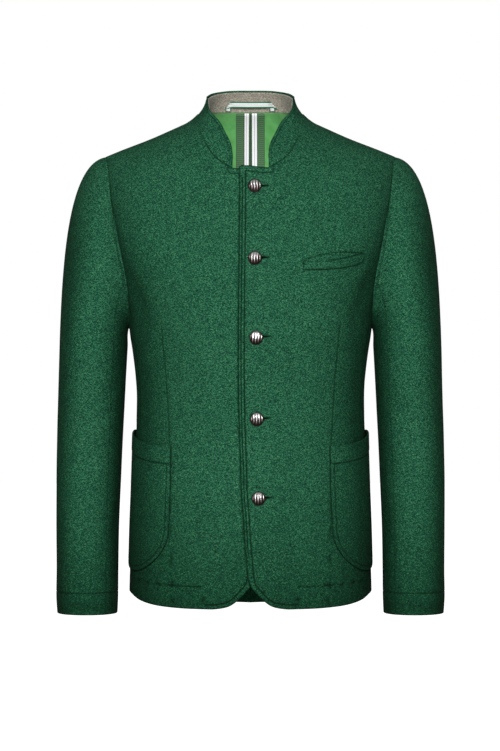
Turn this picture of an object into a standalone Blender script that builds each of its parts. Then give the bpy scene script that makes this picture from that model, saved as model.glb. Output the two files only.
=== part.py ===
"""A boiled wool jacket, hollow as it is worn, made from the pieces of its cut.

The body is one form, given by a turn (0 at the centre front, 90 at the side, 180 at the
centre back) and a level (0 at the hem, 1 at the underarm, 2 on the shoulder line). Each
panel is a region of that form with the thickness of its cloth. Lengths are in millimetres
in the tables and in metres everywhere else. +X is the wearer's left, the front faces -Y.
"""

import math

import bpy
import numpy as np
from mathutils.bvhtree import BVHTree

MM = 0.001
NAME = "boiled_wool_jacket"

# Cloth and seams
WOOL = 2.2 * MM
FELT = 1.8 * MM
LINING = 1.0 * MM
RIBBON = 0.9 * MM
TAPE = 1.2 * MM
SEAM = 0.3 * MM
LAP = 3.1 * MM  # how far the left front stands off the form where it laps over the right
OVER = 0.6 * MM  # under a piece that is sewn on top of a curved panel

# The cut, in millimetres
HEM = -700.0
UNDERARM = -305.0
SHOULDER_X = 211.0
RIDGE_Y = 8.0
ARCH = 2.3
NECK_X = 76.0

# height, half width, front depth, back depth, squareness
BODY = (
    (-730, 175.5, 150, 146, 2.5),
    (-690, 175.0, 150, 146, 2.5),
    (-620, 172.5, 146, 140, 2.5),
    (-540, 168.5, 141, 132, 2.5),
    (-460, 165.5, 138, 126, 2.5),
    (-410, 164.7, 138, 124, 2.5),
    (-375, 167.0, 141, 127, 2.5),
    (-340, 170.8, 145, 132, 2.5),
    (-318, 174.0, 147, 136, 2.55),
    (-305, 175.5, 148, 138, 2.55),
)

# x, height of the shoulder line
RIDGE = ((0, 40), (30, 33), (50, 20), (62, 10), (76, 0), (90, -6.5), (110, -15.5), (211, -60), (235, -70.5))

# turn, height of the hem
HEM_LINE = (
    (-20, -701.5),
    (0, -701.5),
    (20, -702),
    (45, -702),
    (60, -699.5),
    (75, -695),
    (90, -692),
    (140, -702),
    (180, -709),
)

# height, x of the front edge of the lapping front, down to the middle of its round corner
FRONT_EDGE = (
    (-87, -16.8),
    (-470, -16.8),
    (-501, -15.2),
    (-549, -13.3),
    (-577, -10.5),
    (-605, -9.1),
    (-640, -5.0),
    (-661, -2.1),
    (-672, 2.0),
    (-681.5, 10.5),
)

# x, height of the neckline, front and back
NECK_FRONT = ((25.5, -83), (36, -77), (50, -66), (64.5, -44), (73.0, -23), (76, 0))
NECK_BACK = ((76, 0), (71, 4), (60, 8), (44, 11), (24, 12), (0, 12))

# height, centre x, centre y, half width, half depth of a sleeve
SLEEVE = (
    (-332, 227.5, 4, 49.3, 75),
    (-375, 229.5, 6, 48.8, 72),
    (-422, 231.5, 9, 48.3, 68),
    (-475, 233.5, 10, 47.5, 64.5),
    (-530, 235.0, 6, 46.8, 61.5),
    (-590, 235.7, -3, 45.4, 58),
    (-655, 235.3, -16, 44.5, 54),
    (-718, 234.9, -30, 44.1, 51),
)

# place along the half neckline (0 front end, 1 shoulder, 2 centre back), how far the collar
# leans in over x, its y and its rise
COLLAR = (
    (0.0, 0.5, 3, 17),
    (0.10, 8.5, 5, 24),
    (0.22, 16, 7, 27),
    (0.42, 21.5, 9, 28),
    (0.62, 23, 8, 26),
    (0.85, 18.5, 3, 24),
    (1.0, 13, -3, 27),
    (1.3, 8, -9, 29),
    (1.6, 4, -12, 31),
    (2.0, 0, -11, 30),
)

# Where the seams meet the armhole, in degrees round it: 0 top, 90 front, 180 underarm
SIDE_SEAM = 140
BACK_SEAM = 230
FRONT_ROUND = [140 - 10 * k for k in range(15)]
UNDER_ROUND = [140, 158, 176, 194, 212, 230]
BACK_ROUND = [230 + 10 * k for k in range(14)]
SLEEVE_FRONT = 130
SLEEVE_BACK = 260
SIDE_ROWS = 9
SHOULDER_COLS = 10

# x and height of each button, and of its buttonhole
BUTTONS = ((5.9, -109), (6.2, -210), (7.8, -321), (8.8, -435), (11.2, -546))
BUTTON_R = 9.8 * MM
BUTTONHOLE = 19.0 * MM

# slot: colour, roughness, metallic
SLOTS = {
    "wool": ((0.015, 0.085, 0.040), 0.92, 0.0),
    "felt": ((0.36, 0.31, 0.24), 0.95, 0.0),
    "lining": ((0.10, 0.36, 0.10), 0.55, 0.0),
    "ribbon": ((0.10, 0.14, 0.07), 0.75, 0.0),
    "tape": ((0.45, 0.48, 0.42), 0.75, 0.0),
    "metal": ((0.16, 0.155, 0.15), 0.35, 1.0),
}


def curve(table, x, column=1):
    """A smooth line through one column of a table, against its first column."""
    rows = sorted(table)
    xs = np.array([r[0] for r in rows], float)
    ys = np.array([r[column] for r in rows], float)
    x = np.clip(np.asarray(x, float), xs[0], xs[-1])
    slope = np.gradient(ys, xs)
    i = np.clip(np.searchsorted(xs, x, side="right") - 1, 0, len(xs) - 2)
    h = xs[i + 1] - xs[i]
    t = (x - xs[i]) / h
    a = ys[i] * (1 + 2 * t) * (1 - t) ** 2 + h * slope[i] * t * (1 - t) ** 2
    return a + ys[i + 1] * t * t * (3 - 2 * t) + h * slope[i + 1] * t * t * (t - 1)


def ease(t):
    t = np.clip(t, 0, 1)
    return t * t * (3 - 2 * t)


def sizes(level):
    """Half width, front depth, back depth, squareness and the two parts of the arch at a level."""
    rise = np.clip(level - 1, 0, 1) * math.pi / 2
    height = HEM + (UNDERARM - HEM) * np.minimum(level, 1)
    half, front, back, square = (curve(BODY, height, c) for c in (1, 2, 3, 4))
    up = np.sin(rise) ** (2 / ARCH)
    near = np.abs(np.cos(rise)) ** (2 / ARCH)
    half = half + (SHOULDER_X - half) * ease(up**0.75)
    square = square + (3.0 - square) * ease((level - 1) / 0.3)
    return half, front, back, square, up, near


def form(turn, level):
    """Points of the body's form, in metres."""
    turn, level = np.broadcast_arrays(np.asarray(turn, float), np.asarray(level, float))
    half, front, back, square, up, near = sizes(level)
    s, c = np.sin(np.radians(turn)), np.cos(np.radians(turn))
    size = (np.abs(s) ** square + np.abs(c) ** square) ** (1 / square)
    across, along = s / size, c / size
    y = np.where(along > 0, -front * along, -back * along)
    y = RIDGE_Y + (y - RIDGE_Y) * near
    hem = curve(HEM_LINE, np.abs(turn))
    low = hem + (UNDERARM - hem) * np.minimum(level, 1)
    top = curve(RIDGE, np.abs(across) * SHOULDER_X)
    z = np.where(level > 1, UNDERARM + (top - UNDERARM) * up, low)
    return np.stack([half * across, y, z], -1) * MM


def normal(surface, a, b):
    """Unit normals of a surface of two numbers, by small steps of both."""
    a, b = np.broadcast_arrays(np.asarray(a, float), np.asarray(b, float))
    if surface is form:
        near = np.where(b > 1.9, 6.0, 0.0)
        a = np.where((a > 90 - near) & (a <= 90), 90 - near, a)
        a = np.where((a < 90 + near) & (a > 90), 90 + near, a)
    high = np.minimum(b + 0.004, 2.0)
    along = surface(a + 0.1, b) - surface(a - 0.1, b)
    up = surface(a, high) - surface(a, high - 0.008)
    n = np.cross(along, up)
    return n / np.linalg.norm(n, axis=-1, keepdims=True)


def place(x, z, back=False):
    """The turn and level of the form's point at an x and a height in millimetres."""
    x, z = np.broadcast_arrays(np.asarray(x, float), np.asarray(z, float))
    low, high = np.zeros(x.shape), np.full(x.shape, 2.0)
    for _ in range(40):
        level = (low + high) / 2
        half, _front, _back, square, _up, _near = sizes(level)
        r = np.clip(np.abs(x) / half, 0, 0.99999) ** square
        turn = np.degrees(np.arctan((r / (1 - r)) ** (1 / square))) * np.sign(x)
        turn = 180 - turn if back else turn
        above = form(turn, level)[..., 2] > z * MM
        high = np.where(above, level, high)
        low = np.where(above, low, level)
    return turn, level


def armhole_line():
    """The oval of the armhole as degrees round it, by length, with its turns and levels."""
    a = np.radians(np.linspace(0, 360, 721))
    s, c = np.sin(a), np.cos(a)
    turn = 90 - np.sign(s) * np.where(s > 0, 27.0, 25.0) * np.abs(s) ** (2 / 2.5)
    level = 1.30 + np.sign(c) * np.where(c > 0, 0.70, 0.30) * np.abs(c) ** (2 / 2.5)
    run = np.linalg.norm(np.diff(form(turn, level), axis=0), axis=1).cumsum()
    return np.append(0, run) / run[-1] * 360, turn, level


def armhole(round_):
    """Turn and level of the armhole, by degrees round it."""
    run, turn, level = ARMHOLE
    at = np.where(np.asarray(round_) == 360, 360.0, np.mod(round_, 360.0))
    return np.interp(at, run, turn), np.interp(at, run, level)


def spaced(points, n):
    """n + 1 points evenly along a line of points."""
    p = np.asarray(points, float)
    run = np.concatenate([[0], np.cumsum(np.linalg.norm(np.diff(p, axis=0), axis=1))])
    at = np.linspace(0, run[-1], n + 1)
    return np.stack([np.interp(at, run, p[:, k]) for k in range(p.shape[1])], -1)


def line(x, z, back=False):
    """Turns and levels of points given by x and height."""
    return np.stack(place(x, z, back), -1)


def across(line_):
    """A line of turns and levels with each turn as its share of the half width."""
    turn, level = line_[:, 0], line_[:, 1]
    square = sizes(level)[3]
    s, c = np.sin(np.radians(turn)), np.cos(np.radians(turn))
    return np.stack([s / (np.abs(s) ** square + np.abs(c) ** square) ** (1 / square), level], -1)


def turned_back(grid, back):
    """The turns of a grid of shares of the half width."""
    square = sizes(grid[..., 1])[3]
    r = np.clip(np.abs(grid[..., 0]), 0, 1 - 1e-9) ** square
    turn = np.degrees(np.arctan((r / (1 - r)) ** (1 / square))) * np.sign(grid[..., 0])
    return np.stack([180 - turn if back else turn, grid[..., 1]], -1)


def patch(bottom, top, left, right):
    """A grid between four lines of points."""
    u = np.linspace(0, 1, len(bottom))[None, :, None]
    v = np.linspace(0, 1, len(left))[:, None]
    from_left = left - (1 - v) * left[0] - v * left[-1]
    from_right = right - (1 - v) * right[0] - v * right[-1]
    rows = (1 - v[:, None]) * bottom[None] + v[:, None] * top[None]
    return rows + (1 - u) * from_left[:, None] + u * from_right[:, None]


def drawn_in(p, by):
    """A grid of points with its border drawn in along the cloth."""
    q = p.copy()
    for edge, inner in ((q[0], p[1]), (q[-1], p[-2]), (q[:, 0], p[:, 1]), (q[:, -1], p[:, -2])):
        run = np.gradient(edge, axis=0)
        run = run / np.linalg.norm(run, axis=-1, keepdims=True)
        way = inner - edge
        way = way - (way * run).sum(-1, keepdims=True) * run
        edge += by * way / np.linalg.norm(way, axis=-1, keepdims=True)
    return q


def mesh_of(name, points, faces, slot, mirrored=False):
    """One object, mirrored over x if asked."""
    points = np.asarray(points, float).reshape(-1, 3)
    if mirrored:
        points = points * (-1, 1, 1)
        faces = [f[::-1] for f in faces]
    mesh = bpy.data.meshes.new(name)
    mesh.from_pydata(points.tolist(), [], [list(map(int, f)) for f in faces])
    mesh.validate()
    mesh.update()
    mesh.shade_smooth()
    mesh.set_sharp_from_angle(angle=math.radians(40))
    mesh.materials.append(material(slot))
    obj = bpy.data.objects.new(name, mesh)
    PARTS.objects.link(obj)
    return obj


def cloth(name, outer, inner, slot, mirrored=False, middle=10**6):
    """A closed piece between two grids of points. From its middle column on, triangles lean the other way."""
    rows, cols = outer.shape[:2]
    n = rows * cols
    at = np.arange(n).reshape(rows, cols)
    faces = []
    for i in range(rows - 1):
        for j in range(cols - 1):
            a, b, c, d = at[i, j], at[i, j + 1], at[i + 1, j + 1], at[i + 1, j]
            for t in ((a, b, c), (a, c, d)) if j < middle else ((a, b, d), (b, c, d)):
                faces.append(t)
                faces.append(tuple(k + n for k in t[::-1]))
    rim = [*at[0, :-1], *at[:-1, -1], *at[-1, :0:-1], *at[:0:-1, 0]]
    for a, b in zip(rim, rim[1:] + rim[:1]):
        faces.append((b, a, a + n, b + n))
    points = np.concatenate([outer.reshape(-1, 3), inner.reshape(-1, 3)])
    return mesh_of(name, points, faces, slot, mirrored)


def material(slot):
    mat = bpy.data.materials.get(slot)
    if mat is None:
        colour, roughness, metallic = SLOTS[slot]
        mat = bpy.data.materials.new(slot)
        mat.use_nodes = True
        shader = mat.node_tree.nodes["Principled BSDF"]
        shader.inputs["Base Color"].default_value = (*colour, 1)
        shader.inputs["Roughness"].default_value = roughness
        shader.inputs["Metallic"].default_value = metallic
        mat.diffuse_color = (*colour, 1)
    return mat


def front_grid():
    """The front. Its rows start on the front edge, the top edge and the neckline."""
    edge_z = np.array([-681.5, -672, -658, *np.linspace(-630, -88, 11)])
    edge = line(curve(FRONT_EDGE, edge_z), edge_z)
    corner = line([-15.2, -4.0, 11.0], [-84.5, -83.0, -83.0])
    left = np.concatenate([edge, corner, neck_front()])
    hem = np.stack([np.linspace(17, 66, 8), np.zeros(8)], -1)
    bottom = np.concatenate([line([10.5, 24.4, 38.4], [-681.5, -693, -698.3]), hem])
    top = shoulder()[::-1]
    right = np.concatenate([side_seam(66, SIDE_SEAM), np.stack(armhole(FRONT_ROUND[1:]), -1)])
    right[-1] = top[-1]
    grid = turned_back(patch(*map(across, (bottom, top, left, right))), False)
    grid[:, -1] = right
    return grid


def side_seam(turn, round_):
    """A seam from the hem up to the armhole."""
    end = np.array(armhole(round_))
    t = np.linspace(0, 1, SIDE_ROWS + 1)[:, None]
    return (1 - t) * np.array([turn, 0.0]) + t * end + np.array([-3.0, 0]) * (t * (1 - t))


def shoulder():
    """The shoulder seam from the shoulder point to the neck."""
    x = np.linspace(SHOULDER_X, NECK_X, SHOULDER_COLS + 1)
    square = sizes(np.array(2.0))[3]
    r = np.clip(x / SHOULDER_X, 0, 1 - 1e-9) ** square
    turn = np.degrees(np.arctan((r / (1 - r)) ** (1 / square)))
    turn[0] = 90 - 1e-6
    return np.stack([turn, np.full(len(x), 2.0)], -1)


def neck_front():
    p = spaced(NECK_FRONT, 6)
    lines = line(p[:, 0], np.minimum(p[:, 1], -0.01))
    lines[-1] = shoulder()[-1]
    return lines


def neck_back():
    p = spaced(NECK_BACK, 5)
    lines = line(p[:, 0], p[:, 1], back=True)
    lines[0] = shoulder()[-1] * (-1, 1) + (180, 0)
    return lines


def back_grid():
    """The back. Its rows end on the centre seam and the neckline."""
    seam = side_seam(112, BACK_SEAM)
    top = shoulder() * (-1, 1) + (180, 0)
    left = np.concatenate([seam, np.stack(armhole(BACK_ROUND[1:]), -1)])
    left[-1] = top[0]
    bottom = np.stack([np.linspace(112, 180, len(top)), np.zeros(len(top))], -1)
    neck = neck_back()[::-1]
    middle = np.linspace(0, neck[0, 1], len(left) - len(neck) + 1)[:-1]
    right = np.concatenate([np.stack([np.full(len(middle), 180.0), middle], -1), neck])
    grid = turned_back(patch(*map(across, (bottom, top, left, right))), True)
    grid[:, 0] = left
    return grid


def side_grid():
    left = side_seam(66, SIDE_SEAM)
    right = side_seam(112, BACK_SEAM)
    bottom = np.stack([np.linspace(66, 112, 6), np.zeros(6)], -1)
    top = np.stack(armhole(UNDER_ROUND), -1)
    return patch(bottom, top, left, right)


def lift(x):
    """How far the lapping front stands off the form."""
    return LAP * (1 - ease((x / MM - 24) / 40))


def panel(name, grid, mirrored=False, lapped=False):
    p = form(grid[..., 0], grid[..., 1])
    n = normal(form, grid[..., 0], grid[..., 1])
    if lapped:
        p = p + n * lift(p[..., 0])[..., None]
    outer = drawn_in(p, SEAM / 2)
    return cloth(name, outer, outer - n * WOOL, "wool", mirrored)


def sleeve(round_, along):
    """Points of the sleeve: along is 0 at the armhole, 1 at the bicep and 2 at the cuff."""
    round_, along = np.broadcast_arrays(np.asarray(round_, float), np.asarray(along, float))
    a = np.radians(round_)
    s, c = np.sin(a), np.cos(a)
    size = (np.abs(s) ** 2.2 + np.abs(c) ** 2.2) ** (1 / 2.2)
    top, cuff = SLEEVE[0][0], SLEEVE[-1][0]
    z = top + (cuff - top) * np.clip(along - 1, 0, 1)
    x, y, wide, deep = (curve(SLEEVE, z, k) for k in (1, 2, 3, 4))
    ring = np.stack([x + wide * c / size, y - deep * s / size, z], -1)
    start = form(*armhole(round_)) / MM + (SEAM / MM, 0, 0)
    up, down = np.maximum(c, 0)[..., None] ** 2, np.maximum(-c, 0)[..., None] ** 2
    fore, aft = np.maximum(s, 0)[..., None] ** 2, np.maximum(-s, 0)[..., None] ** 2
    way = up * (1, 0, -0.15) + down * (0.55, 0, -0.83) + fore * (0.75, -0.6, -0.3) + aft * (0.75, 0.6, -0.3)
    far = np.linalg.norm(ring - start, axis=-1, keepdims=True)
    t = np.clip(along, 0, 1)[..., None]
    head = start * (1 + 2 * t) * (1 - t) ** 2 + 0.72 * far * way * t * (1 - t) ** 2
    head = head + ring * t * t * (3 - 2 * t) - 0.95 * far * np.array([0.03, 0, -1.0]) * t * t * (1 - t)
    return np.where(along[..., None] > 1, ring, head) * MM


def sleeve_piece(name, rounds, mirrored):
    """The turn runs with the round and the sleeve's outside faces away from its middle."""
    along = np.concatenate([np.linspace(0, 1, 10) ** 1.25, np.linspace(1, 2, 10)[1:]])
    a, b = np.meshgrid(np.array(rounds, float), along)
    p = sleeve(a, b)
    n = normal(sleeve, a, b)
    outer = drawn_in(p, SEAM / 2)
    outer[0] = p[0]
    outer[0, 0] = p[0, 0] + (outer[1, 0] - p[1, 0])
    outer[0, -1] = p[0, -1] + (outer[1, -1] - p[1, -1])
    return cloth(name, outer, outer - n * WOOL, "wool", mirrored)


def sleeves():
    fronts = [r for r in FRONT_ROUND if r <= SLEEVE_FRONT]
    backs = [r - 360 for r in BACK_ROUND if r >= SLEEVE_BACK]
    top = backs[:-1] + fronts[::-1]
    low = [SLEEVE_FRONT, *UNDER_ROUND, *[r for r in BACK_ROUND[1:] if r <= SLEEVE_BACK]]
    for side in ("left", "right"):
        sleeve_piece(f"sleeve_top_{side}", top, side == "right")
        sleeve_piece(f"sleeve_under_{side}", low, side == "right")


def neck_ring():
    """Points of the whole neckline from the left front end round the back to the right, and their places."""
    lines = np.concatenate([neck_front(), neck_back()[1:]])
    half = form(lines[:, 0], lines[:, 1])
    at = np.concatenate([np.linspace(0, 1, 7), np.linspace(1, 2, 6)[1:]])
    left = half.copy()
    left[:6] += normal(form, lines[:6, 0], lines[:6, 1]) * lift(half[:6, 0])[:, None]
    p = np.concatenate([left, half[-2::-1] * (-1, 1, 1)])
    side = np.concatenate([np.ones(12), -np.ones(11)])
    return p, np.concatenate([at, at[-2::-1]]), side


def collar_grid(shares, out):
    """A grid of the collar's outer face at shares of its height, moved out."""
    base, at, side = neck_ring()
    lean, back, rise = (curve(COLLAR, at, k) for k in (1, 2, 3))
    way = np.stack([-lean * side, back, rise], -1) * MM
    v = np.array(shares)[:, None, None]
    p = base[None] + v * way[None]
    run = np.gradient(base, axis=0)
    n = np.cross(run, way)
    n = n / np.linalg.norm(n, axis=-1, keepdims=True)
    lifted = way / np.linalg.norm(way, axis=-1, keepdims=True) * 0.35 * MM
    return p + lifted[None] + n[None] * (out + 1.5 * MM * np.sin(v * math.pi))


def collar():
    full, inside = (0, 0.25, 0.5, 0.75, 1), (0.03, 0.25, 0.5, 0.75, 0.93)
    cloth("collar", collar_grid(full, 0), collar_grid(full, -WOOL), "wool")
    gap = WOOL + 0.45 * MM
    outer = collar_grid(inside, -gap)[:, 1:-1]
    inner = collar_grid(inside, -gap - FELT)[:, 1:-1]
    return cloth("collar_facing", outer, inner, "felt")


def pocket(side):
    """A patch pocket on the front and side panels, standing off at its mouth."""
    cols, rows = 11, 8
    u = (1 - np.cos(np.linspace(0, math.pi, cols + 1))) / 2
    turn = 38.5 + (104 - 38.5) * u
    top = -474 + 20 * ease(u * 1.1)
    corner = np.clip((0.38 - u) / 0.38, 0, 1), np.clip((u - 0.66) / 0.34, 0, 1)
    low = -653 + 62 * (1 - np.sqrt(1 - corner[0] ** 2 * 0.999))
    low = low + 55 * (1 - np.sqrt(1 - corner[1] ** 2 * 0.999))
    v = np.linspace(0, 1, rows + 1)[:, None]
    z = low + (top - low) * v
    hem = curve(HEM_LINE, turn)
    level = (z - hem) / (UNDERARM - hem)
    turns = np.broadcast_to(turn, level.shape)
    puff = np.sin(np.pi * np.clip(u, 0, 1)) ** 0.7 * (1 - (1 - v) ** 2.5) * (0.55 + 0.45 * v)
    out = OVER + 2.9 * MM * puff
    p, n = form(turns, level), normal(form, turns, level)
    inner = p + n * out[..., None]
    cloth(f"pocket_{side}", inner + n * WOOL, inner, "wool", side == "right")


def welt():
    """The welt of the slit breast pocket, on the left front."""
    x = np.linspace(73, 161, 8)
    low = np.interp(x, [73, 105, 135, 161], [-228, -227, -224, -217])
    high = np.interp(x, [73, 105, 135, 161], [-217, -216, -212.5, -205])
    z = np.stack([low, (low + high) / 2, high])
    turn, level = place(np.broadcast_to(x, z.shape), z)
    p, n = form(turn, level), normal(form, turn, level)
    p = p + n * (lift(p[..., 0])[..., None] + OVER)
    cloth("breast_welt", p + n * 2.0 * MM, p, "wool")


def lined():
    """Points and normals of the back under its lining, from waist to shoulder."""
    grid = back_grid()[7:-1, 1:]
    return form(grid[..., 0], grid[..., 1]), normal(form, grid[..., 0], grid[..., 1])


def lining():
    """The back lining, in two halves that meet under the ribbon."""
    p, n = lined()
    gap = WOOL + SEAM
    outer = drawn_in(p - n * gap, SEAM / 2)
    sides = ("left", "right")
    return [cloth(f"lining_{s}", outer, outer - n * LINING, "lining", s == "right") for s in sides]


def tree_of(obj):
    mesh = obj.data
    return BVHTree.FromPolygons([v.co for v in mesh.vertices], [f.vertices[:] for f in mesh.polygons])


def ribbon(linings):
    """The ribbon down the middle, laid on the faces of both halves of the lining."""
    x = np.array([20.5, 12.0, 3.0, -3.0, -12.0, -20.5]) * MM
    z = np.linspace(-412, 8.5, 18) * MM
    p, n = np.zeros((18, 6, 3)), np.zeros((18, 6, 3))
    for j in range(6):
        tree = tree_of(linings[0 if x[j] > 0 else 1])
        for i in range(18):
            hit, face, _index, _far = tree.ray_cast((x[j], 0, z[i]), (0, 1, 0))
            p[i, j], n[i, j] = hit, face
    p = p + n * 0.4 * MM
    cloth("back_ribbon", p, p + n * RIBBON, "ribbon")


def loop(facing):
    """The hanger loop: a flat tape with two mitred corners, in front of the collar's facing."""
    mid = np.array([[39, 14.0], [27, 23], [-23, 23], [-35, 14.0]])
    wide = 7.0
    rows = []
    for i, (x, z) in enumerate(mid):
        ways = [w / np.linalg.norm(w) for w in np.diff(mid, axis=0)[max(i - 1, 0) : i + 1]]
        sides = [np.array([w[1], -w[0]]) for w in ways]
        mitre = sum(sides) / np.linalg.norm(sum(sides))
        mitre = mitre * wide / 2 / (mitre @ sides[0])
        rows.append(((x, z) + mitre, (x, z), (x, z) - mitre))
    flat = np.array(rows) * MM
    tree = tree_of(facing)
    y = np.zeros(flat.shape[:2])
    for i in range(4):
        for j in range(3):
            y[i, j] = tree.ray_cast((flat[i, j, 0], 0, flat[i, j, 1]), (0, 1, 0))[0].y
    y = y.min(1, keepdims=True) - np.array([[0.5], [0.9], [0.9], [0.5]]) * MM - TAPE
    front = np.stack([flat[..., 0], np.broadcast_to(y, flat.shape[:2]), flat[..., 1]], -1)[:, ::-1]
    cloth("hanger_loop", front, front + (0, TAPE, 0), "tape")


def frame_at(x, z):
    """A point on the lapping front with the ways across, up and out."""
    turn, level = place(np.array(x, float), np.array(z, float))
    p, n = form(turn, level), normal(form, turn, level)
    across = np.cross((0, 0, 1), n)
    across = -across / np.linalg.norm(across)
    if across[0] < 0:
        across = -across
    return p, across, np.cross(n, across), n


def turned(profile, sides, centre, across, up, out, flutes=0):
    """A round solid from radius and height pairs, closed at both ends."""
    a = np.arange(sides) / sides * 2 * math.pi
    points, faces = [], []
    for k, (r, h) in enumerate(profile):
        x, y = r * np.cos(a), r * np.sin(a)
        rib = flutes * np.cos(x / BUTTON_R * 4 * math.pi) * (1 if 0 < k < len(profile) - 1 else 0)
        ring = centre + x[:, None] * across + y[:, None] * up + (h + rib)[:, None] * out
        points.extend(ring)
    for k in range(len(profile) - 1):
        for i in range(sides):
            j = (i + 1) % sides
            a0, b0 = k * sides, (k + 1) * sides
            faces.append((a0 + i, a0 + j, b0 + j, b0 + i))
    last = (len(profile) - 1) * sides
    faces.append(tuple(range(sides))[::-1])
    faces.append(tuple(last + i for i in range(sides)))
    return points, faces


def buttons():
    """Five domed buttons, each with a shank through the lapping front."""
    low = SEAM
    back = LAP + 0.6 * MM
    for k, (x, z) in enumerate(BUTTONS):
        p, across, up, out = frame_at(x, z)
        profile = (
            (1.6 * MM, low),
            (1.6 * MM, back),
            (8.6 * MM, back),
            (BUTTON_R, back + 0.9 * MM),
            (9.3 * MM, back + 2.2 * MM),
            (7.6 * MM, back + 3.6 * MM),
            (4.4 * MM, back + 4.8 * MM),
            (1.4 * MM, back + 5.2 * MM),
        )
        points, faces = turned(profile, 20, p, across, up, out)
        mesh_of(f"button_{k + 1}", points, faces, "metal")


def buttonholes(front):
    """Keyhole slots, cut in the lapping front."""
    points, faces = [], []
    for x, z in BUTTONS:
        p, across, up, out = frame_at(x, z)
        outline = []
        for a in np.radians(np.arange(24, 337, 26)):
            outline.append((2.3 * math.cos(a), 2.3 * math.sin(a)))
        end = BUTTONHOLE / MM - 3.0
        outline += [(end, -0.75), (end + 0.6, 0.0), (end, 0.75)]
        start = len(points)
        n = len(outline)
        for h in (-2.0, 7.0):
            points += [p + (a * across + b * up + h * out) * MM for a, b in outline]
        faces.append(tuple(start + i for i in range(n))[::-1])
        faces.append(tuple(start + n + i for i in range(n)))
        for i in range(n):
            j = (i + 1) % n
            faces.append((start + i, start + j, start + n + j, start + n + i))
    cutter = mesh_of("buttonhole_cutter", points, faces, "wool")
    PARTS.objects.unlink(cutter)
    CUTTERS.objects.link(cutter)
    cutter.hide_render = True
    cutter.display_type = "WIRE"
    cut = front.modifiers.new("buttonholes", "BOOLEAN")
    cut.operation = "DIFFERENCE"
    cut.solver = "EXACT"
    cut.object = cutter


def body():
    front = panel("front_left", front_grid(), lapped=True)
    buttonholes(front)
    panel("front_right", front_grid(), mirrored=True)
    for side in ("left", "right"):
        panel(f"side_{side}", side_grid(), side == "right")
        panel(f"back_{side}", back_grid(), side == "right")


ARMHOLE = armhole_line()
for old in list(bpy.data.objects):
    bpy.data.objects.remove(old, do_unlink=True)
for old in list(bpy.data.collections):
    bpy.data.collections.remove(old)
PARTS = bpy.data.collections.new(NAME)
CUTTERS = bpy.data.collections.new("cutters")
bpy.context.scene.collection.children.link(PARTS)
bpy.context.scene.collection.children.link(CUTTERS)

body()
sleeves()
loop(collar())
pocket("left")
pocket("right")
welt()
ribbon(lining())
buttons()
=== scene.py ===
"""Looks of a boiled wool folk jacket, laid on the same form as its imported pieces.

Each piece of cloth is a thin shell with rounded edges. Its grid lies close together along seams,
edges and sewn lines, so that these are real grooves, and loose creases are soft troughs in the
form that all pieces share. Tables are in millimetres and degrees, everything else in metres.
+X is the wearer's left and the buttoned front faces -Y.
"""

import math

import bpy
import numpy as np
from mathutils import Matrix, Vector
from mathutils.bvhtree import BVHTree
from mathutils.kdtree import KDTree


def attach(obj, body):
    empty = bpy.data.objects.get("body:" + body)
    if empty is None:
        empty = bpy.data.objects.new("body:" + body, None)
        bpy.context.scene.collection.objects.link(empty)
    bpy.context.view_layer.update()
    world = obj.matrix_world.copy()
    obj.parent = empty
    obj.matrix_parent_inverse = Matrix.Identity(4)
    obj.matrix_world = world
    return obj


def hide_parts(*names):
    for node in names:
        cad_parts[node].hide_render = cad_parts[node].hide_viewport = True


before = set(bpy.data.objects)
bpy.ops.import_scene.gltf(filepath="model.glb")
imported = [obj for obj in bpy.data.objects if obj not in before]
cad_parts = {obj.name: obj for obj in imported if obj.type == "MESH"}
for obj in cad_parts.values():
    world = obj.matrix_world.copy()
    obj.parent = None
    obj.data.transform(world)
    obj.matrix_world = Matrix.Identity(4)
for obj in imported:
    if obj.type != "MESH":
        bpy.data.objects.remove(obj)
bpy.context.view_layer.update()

MM = 0.001

# Cloth, as in the cut
WOOL = 2.2
FELT = 1.8
LINING = 1.0
RIBBON = 0.9
TAPE = 1.2
SEAM = 0.3  # between the backs and their lining
LAP = 3.1  # how far the lapping front lies over the other
OVER = 0.6  # how far pockets and welt lie over the fronts
ROUND = 1.0  # how far from an edge the cloth begins to round off
THINNEST = 0.14  # share of its thickness that is left at the very edge
CLOSE = -0.04  # gap left along a seam, so that the two sides just press into each other

# The form of the body: heights, x of the shoulder, y of the shoulder line, squareness, x of the neck
HEM = -700.0
UNDERARM = -305.0
SHOULDER_X = 211.0
RIDGE_Y = 8.0
ARCH = 2.3  # squareness of the arch from the underarm up to the shoulder line
TOP_SQUARE = 3.0  # squareness of the body above the underarm
NECK_X = 76.0

# height, half width, front depth, back depth, squareness
BODY = (
    (-730, 175.5, 150, 146, 2.5),
    (-690, 175.0, 150, 146, 2.5),
    (-620, 172.5, 146, 140, 2.5),
    (-540, 168.5, 141, 132, 2.5),
    (-460, 165.5, 138, 126, 2.5),
    (-410, 164.7, 138, 124, 2.5),
    (-375, 167.0, 141, 127, 2.5),
    (-340, 170.8, 145, 132, 2.5),
    (-318, 174.0, 147, 136, 2.55),
    (-305, 175.5, 148, 138, 2.55),
)

# x, height of the shoulder line
RIDGE = (
    (0, 40),
    (30, 34),
    (50, 24),
    (62, 15),
    (76, 4.3),
    (84, -3.0),
    (92, -8.6),
    (102, -13.4),
    (114, -18.8),
    (137, -29.0),
    (195, -51.5),
    (211, -58.0),
    (235, -69.5),
)

# turn, height of the hem
HEM_LINE = (
    (-20, -701.5),
    (0, -701.5),
    (20, -702),
    (35, -701),
    (47, -698.5),
    (59, -693.5),
    (70, -687.5),
    (83, -685.5),
    (92, -685),
    (110, -688),
    (140, -703),
    (165, -714),
    (180, -716),
)

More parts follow.
